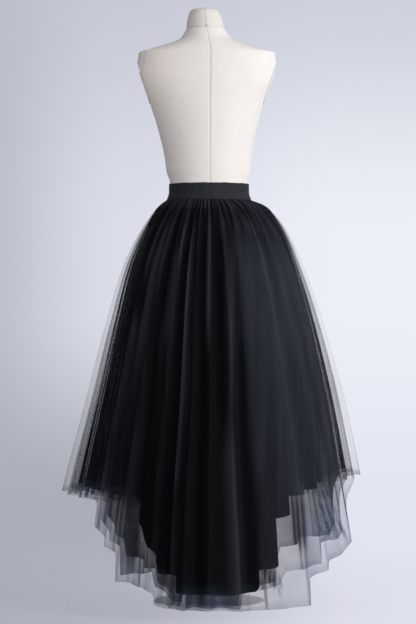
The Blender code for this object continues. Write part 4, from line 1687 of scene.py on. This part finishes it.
@dataclass
class Waistband:
    """The elastic waistband: a ribbed ring that flares a little towards the gathers, joined at the
    centre back.

    Lengths are in metres. radius turns an angle into a length round the band, and cloth_radius does so
    in the elastic's own coordinates. join_shade and gap_shade are how dark the join and the gaps are;
    the darker gaps between the ribs are painted shade.
    """

    ribs: int = 10
    rows_to_a_rib: int = 6
    rib_height: float = 0.00032
    join_depth: float = 0.0007
    join_width: float = 0.0011
    join_shade: float = 0.6
    pucker: float = 0.0004
    edge_wave: float = 0.0003
    edge_lowered: float = 0.0008
    gap_shade: float = 0.22
    radius: float = 0.105
    cloth_radius: float = 0.1

    def angles(self) -> ndarray:
        """Angles round the band, in degrees, closer together at the join."""
        half = np.array([0.3, 0.55, 0.8, 1.1, 1.6, 2.4])
        return np.concatenate([-half[::-1], [0.0], half, np.linspace(4.0, 356.0, 220)])

    def build(self, finish: Material) -> Object:
        """Make the band as a closed ring.

        Its outside is drawn in by a row of cosine waves, one to a rib, by a bell-shaped groove at the
        join, and by slow waves round it where the elastic puckers. Its colour has painted shade in the gaps
        between the ribs and along the creases of BAND_CREASES, and is darker at the join, at the very top
        edge and on the inside.

        Args:
            finish: Its material.

        Returns:
            The finished piece.
        """
        angles = self.angles()
        turn, away = np.radians(angles), nearest_turn(angles)
        outer_rows = np.linspace(0.0, 1.0, self.ribs * self.rows_to_a_rib + 1)
        rows = np.concatenate([outer_rows, np.linspace(1.0, 0.0, 9)])[:, None]
        is_outer = np.arange(len(rows))[:, None] < len(outer_rows)
        rib = np.where(is_outer, cosine_rise(2 * self.ribs * rows), 0.0)
        join = bell(np.radians(away) * self.radius, self.join_width)
        slow = 0.5 + 0.25 * wave(angles, 17, 1.0) + 0.25 * wave(angles, 29, 2.0)
        grooves = self.rib_height * (1 - rib) + self.join_depth * join
        inset = np.where(is_outer, grooves + self.pucker * slow * smooth_step(rows, 0.0, 1.0), BAND_WALL)
        edge = self.edge_wave * (wave(angles, 11) + 0.7 * wave(angles, 23, 1.0)) + self.edge_lowered
        half_width, half_depth = (
            SmoothCurve.of(BAND_SECTIONS, column)(rows) - inset for column in ("half_width", "half_depth")
        )
        points = round_points(turn, half_width, half_depth, BAND_TOP - rows * BAND_HEIGHT - (1 - rows) * edge)
        around = np.append(turn, turn[0] + 2 * np.pi) * self.cloth_radius
        uv = np.stack(np.meshgrid(around, np.append(rows, -0.05) * BAND_HEIGHT), axis=-1)
        # Painted shade along the listed creases, or a painted highlight where a crease's depth is below 0.
        painted_crease_shade = sum(crease.depth * bell(away - crease.angle, crease.width) for crease in BAND_CREASES)
        # Painted shade in the gaps between the ribs; the join, the very top edge and the inside are darker
        # too.
        raised = (self.gap_shade + (1 - self.gap_shade) * rib) * (1 - self.join_shade * join)
        raised = raised * (0.75 + 0.25 * slow) * (1 - painted_crease_shade) * smooth_step(rows, 0.0, 0.05) * is_outer
        shades = {"rib": raised}
        piece = surface_mesh("skirt_waistband", points, around=True, along=True, uv=uv, attributes=shades)
        dress(piece, finish, "elastic_black", "waistband")
        return piece


@dataclass
class Skirt:
    """The waistband and the front and back panel of each gathered layer."""

    shape: SkirtShape
    tulle: dict[LayerName, TulleFinish]
    lining: LiningFinish
    elastic: ElasticFinish

    def build(self) -> None:
        """Build and dress every piece."""
        Waistband().build(self.elastic.build())
        for plan in LAYER_PLANS:
            finish = self.tulle.get(plan.name, self.lining).build()
            for side in Side:
                GatheredPanel(self.shape, plan, side).build(finish)


# ---------------------------------------------------------------- the dress form


class Seam(NamedTuple):
    """An upright seam of the form: its angle, and how much it shows."""

    angle: float
    shows: float


# Centre back, right side back, right front, centre front, left front and left side back.
FORM_SEAMS = table(Seam, (0.0, 1.0), (66.0, 0.25), (130.0, 0.8), (180.0, 1.0), (230.0, 0.8), (294.0, 0.6))


class Rim(NamedTuple):
    """A point of an armhole plate's profile, as shares of its radius and of its thickness."""

    radius: float
    height: float


PLATE_PROFILE = table(
    Rim,
    (0.30, 1.00), (0.62, 1.00), (0.80, 0.995), (0.84, 0.95), (0.86, 0.90), (0.88, 0.95), (0.92, 0.98),
    (0.96, 0.93), (0.985, 0.80), (1.00, 0.60), (1.00, 0.30), (0.99, 0.10), (0.97, 0.0),
)


@dataclass
class DressForm:
    """The padded form: torso, neck, armhole plates and a pin in the neck.

    Lengths are in metres and angles in degrees, but for flat_lean. pull_width is how far round the back
    seam's pull reaches, foot_slope how fast the armhole's flat gives way below flat_foot, and
    seam_radius and cloth_radius turn angles into lengths round the form, for the seams and for the
    canvas's own coordinates. The shades are shares of the seams' colour.
    """

    canvas: CanvasFinish
    steel: SteelFinish
    seam_depth: float = 0.0011
    seam_width: float = 0.0017
    seam_shade: float = 0.40
    seam_radius: float = 0.1
    cloth_radius: float = 0.12
    pull_width: float = 50.0
    plate_thickness: float = 0.003
    plate_half_height: float = 0.045
    plate_half_depth: float = 0.030
    plate_centre: float = 1.3425
    ring_at: float = 0.86
    ring_width: float = 0.02
    ring_shade: float = 0.6
    flat_at_plate: float = 0.1592
    flat_lean: float = math.radians(18.3)
    flat_foot: float = 1.30
    foot_slope: float = 0.4
    neck_shade: float = 0.26
    pin_centre: tuple[float, float, float] = (-0.0067, -0.0524, 1.4996)
    pin_radius: float = 0.0019

    def angles(self) -> ndarray:
        """Angles round the form, closer together at each seam.

        Returns:
            Degrees, rising.
        """
        near = np.array([0.0, 0.35, 0.7, 1.05, 1.5, 2.1, 3.0])
        evenly = np.linspace(0.0, 360.0, 132, endpoint=False)
        seams = np.array([seam.angle for seam in FORM_SEAMS])[:, None]
        away = np.abs(nearest_turn(evenly - seams)).min(axis=0)
        around = np.concatenate([evenly[away > 4.0], (seams + near).ravel(), (seams - near).ravel()])
        return np.unique(np.round(around % 360.0, 6))

    def armhole_flat(self, height: ndarray) -> ndarray:
        """How far the armhole's flat is from the form's middle, by height."""
        return self.flat_at_plate + (height - self.plate_centre) * math.tan(self.flat_lean)

    def shell(
        self,
        name: str,
        sections: Sequence[Section],
        stretches: Sequence[tuple[float, float, int]],
        node: str,
        finish: Material,
        soiled: float = 0.0,
    ) -> Object:
        """A closed body through sections, with grooves for its upright seams.

        Each ring is an ellipse, deeper at the front, whose sides are cut off softly at the armholes'
        flats. A seam is a bell-shaped groove at its angle, and the one at the centre back is pulled
        sideways as in BACK_SEAM.

        Args:
            name: The piece's name.
            sections: The sections, from the lowest up.
            stretches: Evenly spaced rings, as a start height, an end height and their number.
            node: The solid that it stands for.
            finish: Its material.
            soiled: How far its canvas has darkened towards the seams' colour.

        Returns:
            The finished piece.
        """
        rows = np.unique(np.concatenate([np.linspace(*stretch) for stretch in stretches]))[::-1, None]
        angles = self.angles()
        pull = SmoothCurve.of(BACK_SEAM, "turn")(rows)
        turn = np.radians(angles + pull * bell(nearest_turn(angles), self.pull_width))
        centre, half_width, back, front = (
            SmoothCurve.of(sections, column)(rows) for column in Section._fields[1:]
        )
        groove = np.zeros(len(angles))
        for seam in FORM_SEAMS:
            away = np.radians(nearest_turn(angles - seam.angle)) * self.seam_radius
            groove += seam.shows * bell(away, self.seam_width)
        inset = self.seam_depth * groove
        across = (half_width - inset) * np.sin(turn)
        flat = self.armhole_flat(rows) + self.foot_slope * np.maximum(self.flat_foot - rows, 0.0)
        across = np.sign(across) * self.soft_limit(np.abs(across), flat)
        along = -(np.where(np.cos(turn) > 0, back, front) - inset) * np.cos(turn)
        points = np.stack(np.broadcast_arrays(centre + across, along, rows), axis=-1)
        around = np.radians(np.append(angles, angles[0] + 360.0)) * self.cloth_radius
        uv = np.stack(np.meshgrid(around, -rows), axis=-1)
        colour = np.broadcast_to(groove * self.seam_shade + soiled, across.shape)
        piece = surface_mesh(name, points, around=True, caps=True, uv=uv, attributes={"seam": colour})
        dress(piece, finish, "canvas_cream", node)
        return piece

    @staticmethod
    def soft_limit(values: ndarray, limit: ndarray, rounding: float = 0.004) -> ndarray:
        """Cut values off at a limit, with the corner rounded off.

        Args:
            values: What to cut off.
            limit: Where.
            rounding: How far to each side the corner is rounded, in metres.

        Returns:
            The smaller of each value and its limit.
        """
        gap = values - limit
        smaller = limit + (gap - np.sqrt(gap**2 + rounding**2)) / 2
        return smaller + rounding / 2 * np.exp(-np.abs(gap) / rounding)

    def plate(self, side: int, name: str, node: str, finish: Material) -> Object:
        """An oval armhole plate with a rounded rim and a sewn ring on its face.

        The profile is carried round an oval, which leans with the armhole's flat.

        Args:
            side: -1 for the left, 1 for the right.
            name: The piece's name.
            node: The solid that it stands for.
            finish: Its material.

        Returns:
            The finished piece.
        """
        turn, lean = whole_turn(72), self.flat_lean
        radius, height = (column[:, None] for column in np.array(PLATE_PROFILE).T)
        out = height * self.plate_thickness
        up = self.plate_half_height * radius * np.cos(turn)
        forward = side * self.plate_half_depth * radius * np.sin(turn)
        base = self.flat_at_plate + SEAM_GAP / math.cos(lean)
        x = base + out * math.cos(lean) + up * math.sin(lean)
        z = self.plate_centre + up * math.cos(lean) - out * math.sin(lean)
        points = np.stack([SHOULDER_CENTRE + side * x, forward, z], axis=-1)
        ring = self.ring_shade * bell(radius - self.ring_at, self.ring_width)
        seam = np.broadcast_to(ring, up.shape)
        uv = np.pad(np.stack([forward, up], axis=-1), ((0, 0), (0, 1), (0, 0)), "wrap")
        piece = surface_mesh(name, points, around=True, caps=True, uv=uv, attributes={"seam": seam})
        dress(piece, finish, "canvas_cream", node)
        return piece

    def pin(self, finish: Material) -> Object:
        """A pin's round head on the back of the neck: half a circle turned round the pin's axis.

        Args:
            finish: Its material.

        Returns:
            The finished piece.
        """
        open_pole = 0.12
        rise = np.linspace(open_pole, np.pi - open_pole, 14)[:, None]
        ball = round_points(whole_turn(24), np.sin(rise), np.sin(rise), np.cos(rise))
        points = np.array(self.pin_centre) + self.pin_radius * ball
        piece = surface_mesh("neck_pin", points, around=True, caps=True)
        dress(piece, finish, "enamel_grey")
        return piece

    def build(self) -> None:
        """Build and dress every piece of the form."""
        canvas = self.canvas.build()
        shoulder, hip, neck_top = 1.405, 0.80, 1.536
        body = ((TORSO[-1].height, shoulder, 46), (shoulder, hip, 80), (hip, TORSO[0].height, 6))
        self.shell("form_body", TORSO, body, "form_torso", canvas)
        neck = ((NECK[-1].height, neck_top, 14), (neck_top, NECK[0].height, 16))
        self.shell("form_neck_cover", NECK, neck, "form_neck", canvas, soiled=self.neck_shade)
        self.plate(-1, "arm_cover_left", "arm_plate_left", canvas)
        self.plate(1, "arm_cover_right", "arm_plate_right", canvas)
        self.pin(self.steel.build())


@dataclass
class Stand:
    """The enamelled stand: a round base with a socket, and a pole with a flange."""

    enamel: EnamelFinish
    steps: int = 128
    sharp: float = math.radians(35.0)
    base_radius: float = 0.145
    base_top: float = 0.012
    rounding: float = 0.003
    socket_radius: float = 0.024
    socket_top: float = 0.045
    pole_radius: float = 0.0125
    flange_radius: float = 0.050
    flange_thickness: float = 0.006

    def turned(self, name: str, profile: Sequence[Span], node: str, finish: Material) -> Object:
        """A body turned round the pole's axis.

        Args:
            name: The piece's name.
            profile: Radius and height, from the top down.
            node: The solid that it stands for.
            finish: Its material.

        Returns:
            The finished piece.
        """
        radius, height = (column[:, None] for column in np.array(profile).T)
        points = round_points(whole_turn(self.steps), radius, radius, height)
        piece = surface_mesh(name, points, around=True, caps=True)
        piece.data.set_sharp_from_angle(angle=self.sharp)
        dress(piece, finish, "enamel_grey", node)
        return piece

    def corner(self, radius: float, height: float, upper: bool = True) -> list[Span]:
        """A quarter circle at an outer edge.

        Args:
            radius: The edge's radius.
            height: Its height.
            upper: True for an upper edge, False for a lower one.

        Returns:
            Five points from its upper end.
        """
        centre = height - self.rounding if upper else height + self.rounding
        start = math.pi / 2 if upper else 0.0
        return [
            (radius - self.rounding + self.rounding * math.cos(step), centre + self.rounding * math.sin(step))
            for step in np.linspace(start, start - math.pi / 2, 5)
        ]

    def build(self) -> None:
        """Build and dress the base and the pole."""
        finish = self.enamel.build()
        bore = self.pole_radius + SEAM_GAP
        base = [
            (bore, self.base_top),
            (bore, self.socket_top),
            *self.corner(self.socket_radius, self.socket_top),
            (self.socket_radius, self.base_top),
            *self.corner(self.base_radius, self.base_top),
            *self.corner(self.base_radius, 0.0, upper=False),
        ]
        self.turned("base_plate", base, "stand_base", finish)
        top = TORSO[0].height - SEAM_GAP
        flange_foot = top - self.flange_thickness
        pole = [
            (self.flange_radius, top),
            (self.flange_radius, flange_foot),
            (self.pole_radius, flange_foot),
            (self.pole_radius, self.base_top + SEAM_GAP),
        ]
        self.turned("pole_tube", pole, "stand_pole", finish)


# ---------------------------------------------------------------- the studio


class SoftBox(NamedTuple):
    """A light: its name, where it stands, the point it faces, its width and height, and its watts."""

    name: str
    place: tuple[float, float, float]
    aim: tuple[float, float, float]
    size: Span
    power: float


LIGHTS = table(
    SoftBox,
    ("key", (3.7, -3.0, 2.1), (0.0, 0.0, 0.95), (2.4, 2.8), 131.0),
    ("fill", (-1.6, -4.8, 2.2), (0.0, 0.0, 1.2), (2.2, 2.2), 38.0),
    ("foot", (1.6, -3.6, 0.35), (0.0, 0.0, 0.02), (1.4, 0.5), 16.0),
)


class Band(NamedTuple):
    """A level band of the backdrop: how steeply a view rises where the band starts and where it is
    complete, or None for the lowest, and its colours at the left, in the middle and at the right."""

    rise: Span | None
    left: Colour
    middle: Colour
    right: Colour


BACKDROP = table(
    Band,
    (None, (0.405, 0.415, 0.480), (0.405, 0.415, 0.480), (0.765, 0.780, 0.875)),
    ((-0.085, 0.005), (0.462, 0.477, 0.550), (0.705, 0.720, 0.810), (0.840, 0.855, 0.940)),
    ((0.03, 0.15), (0.480, 0.495, 0.575), (0.565, 0.580, 0.665), (0.605, 0.620, 0.700)),
)


@dataclass
class Studio:
    """A plain pale backdrop and floor, soft light from the right, and the camera. A pair of numbers says
    where a change starts and where it is complete, and a pair of colours goes from left to right."""

    eye: tuple[float, float, float] = (-0.0026, -6.0, 0.76)
    lens: float = 133.15
    sensor: float = 36.0
    far_clip: float = 60.0
    lamp_colour: Colour = (1.0, 0.99, 0.98)
    left_to_middle: Span = (-0.112, -0.035)
    middle_to_right: Span = (-0.04, 0.06)
    cast_across: Span = (-0.9, 0.9)
    cast: tuple[Colour, Colour] = ((0.26, 0.26, 0.275), (0.66, 0.67, 0.70))
    floor_radius: float = 3.2
    floor_drop: float = 0.0005
    floor_fades: Span = (0.10, 2.2)
    floor_cover: float = 0.60
    floor_colour: Colour = (0.22, 0.22, 0.24)
    floor_across: Span = (-0.7, 0.7)
    floor_glow: tuple[Colour, Colour] = ((0.28, 0.29, 0.34), (0.56, 0.57, 0.64))

    @staticmethod
    def put(name: str, data: ID, place: Sequence[float], turn: Sequence[float]) -> Object:
        """Put a light or camera in its place.

        Args:
            name: Its name.
            data: Its data.
            place: Where it stands.
            turn: Three angles in radians.

        Returns:
            The new object.
        """
        made = bpy.data.objects.new(name, data)
        made.location = place
        made.rotation_euler = turn
        bpy.context.scene.collection.objects.link(made)
        return made

    def camera(self) -> None:
        """A level camera behind the skirt."""
        data = bpy.data.cameras.new("studio_camera")
        data.lens = self.lens
        data.sensor_fit = "VERTICAL"
        data.sensor_width = data.sensor_height = self.sensor
        data.clip_end = self.far_clip
        level = (math.radians(90.0), 0.0, 0.0)
        bpy.context.scene.camera = self.put("studio_camera", data, self.eye, level)

    def backdrop(self) -> None:
        """A pale lavender world, lighter on the right, and a dimmer one that lights the scene."""
        world = bpy.data.worlds.new("studio")
        world.use_nodes = True
        bpy.context.scene.world = world
        graph = Graph(world.node_tree)
        across, _, rise = graph.axes(graph.place("Generated"))
        inner = graph.spread(across, *self.left_to_middle)
        outer = graph.spread(across, *self.middle_to_right)
        shown = None
        for band in BACKDROP:
            colour = graph.blend(outer, graph.blend(inner, band.left, band.middle), band.right)
            shown = graph.blend(graph.spread(rise, *band.rise), shown, colour) if band.rise else colour
        cast = graph.blend(graph.spread(across, *self.cast_across), *self.cast)
        seen = graph.add("ShaderNodeLightPath").outputs["Is Camera Ray"]
        colour = graph.blend(seen, cast, shown)
        graph.fill(world.node_tree.nodes["Background"], {"Color": colour, "Strength": 1.0})

    def light(self, box: SoftBox) -> None:
        """A soft box that the camera doesn't see.

        Args:
            box: The light's sizes.
        """
        data = bpy.data.lights.new(box.name, "AREA")
        data.shape = "RECTANGLE"
        data.size, data.size_y = box.size
        data.energy = box.power
        data.color = self.lamp_colour
        x, y, z = np.array(box.place) - np.array(box.aim)
        turn = (math.atan2(math.hypot(x, y), z), 0.0, math.atan2(x, -y))
        self.put(box.name, data, box.place, turn).visible_camera = False

    def floor(self) -> None:
        """A round pale floor that fades out into the backdrop. It glows of itself, as painted light, brighter
        on the right, where the key light stands.
        """
        radius = np.append(0.02, np.linspace(0.1, self.floor_radius, 40))[:, None]
        points = round_points(whole_turn(96), radius, radius, -self.floor_drop)
        floor = surface_mesh("studio_floor", points, around=True)
        plain = {"Roughness": 0.9, "Specular IOR Level": 0.1, "Emission Strength": 1.0}
        material, graph, shader = principled("pale floor", plain)
        length = graph.add("ShaderNodeVectorMath", operation="LENGTH")
        graph.feed(length.inputs[0], graph.place())
        cover = graph.spread(length.outputs["Value"], *self.floor_fades, self.floor_cover, 0.0)
        # Painted light: the floor's own glow, dimmer on the left and brighter on the right.
        across = graph.spread(graph.axes(graph.place())["X"], *self.floor_across)
        glow = graph.blend(across, *self.floor_glow)
        values = {"Alpha": cover, "Base Color": (*self.floor_colour, 1.0), "Emission Color": glow}
        graph.fill(shader, values)
        floor.data.materials.append(material)

    def build(self) -> None:
        """Set up the backdrop, floor, lights and camera."""
        self.camera()
        self.backdrop()
        self.floor()
        for box in LIGHTS:
            self.light(box)


def main() -> None:
    """Build the studio, the skirt, the form and the stand, in that order."""
    logging.basicConfig(level=logging.INFO, format="%(name)s: %(message)s")
    bpy.context.scene.view_settings.view_transform = "Standard"
    Studio().build()
    # hollow is painted shade deep in the folds, and glint a painted highlight on shining crests.
    hollow, glint = (0.0040, 0.0042, 0.0055), (0.095, 0.100, 0.120)
    # The three layers are the same black tulle. The middle and inner ones get darker colours as painted
    # shade, for hanging under the outer layer.
    nets = (
        (LayerName.OUTER, "tulle outer", (0.050, 0.056, 0.080), (0.027, 0.030, 0.043)),
        (LayerName.MIDDLE, "tulle middle", (0.041, 0.046, 0.065), (0.021, 0.023, 0.034)),
        (LayerName.INNER, "tulle inner", (0.032, 0.036, 0.051), (0.016, 0.018, 0.027)),
    )
    tulle = {layer: TulleFinish(name, thread, shade, hollow, glint) for layer, name, thread, shade in nets}
    lining = LiningFinish("black lining", (0.0050, 0.0050, 0.0065), (0.0030, 0.0030, 0.0042))
    elastic = ElasticFinish("black elastic", (0.030, 0.032, 0.041), (0.009, 0.010, 0.014))
    Skirt(SkirtShape(LEVELS, CLOTH_TOP), tulle, lining, elastic).build()
    canvas = CanvasFinish("cream canvas", (0.820, 0.784, 0.750), (0.785, 0.746, 0.712), (0.50, 0.45, 0.40))
    DressForm(canvas, SteelFinish("pin steel", (0.45, 0.44, 0.43), (0.22, 0.21, 0.20))).build()
    Stand(EnamelFinish("grey enamel", (0.70, 0.71, 0.75), (0.66, 0.67, 0.71))).build()
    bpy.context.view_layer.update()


if __name__ == "__main__":
    main()
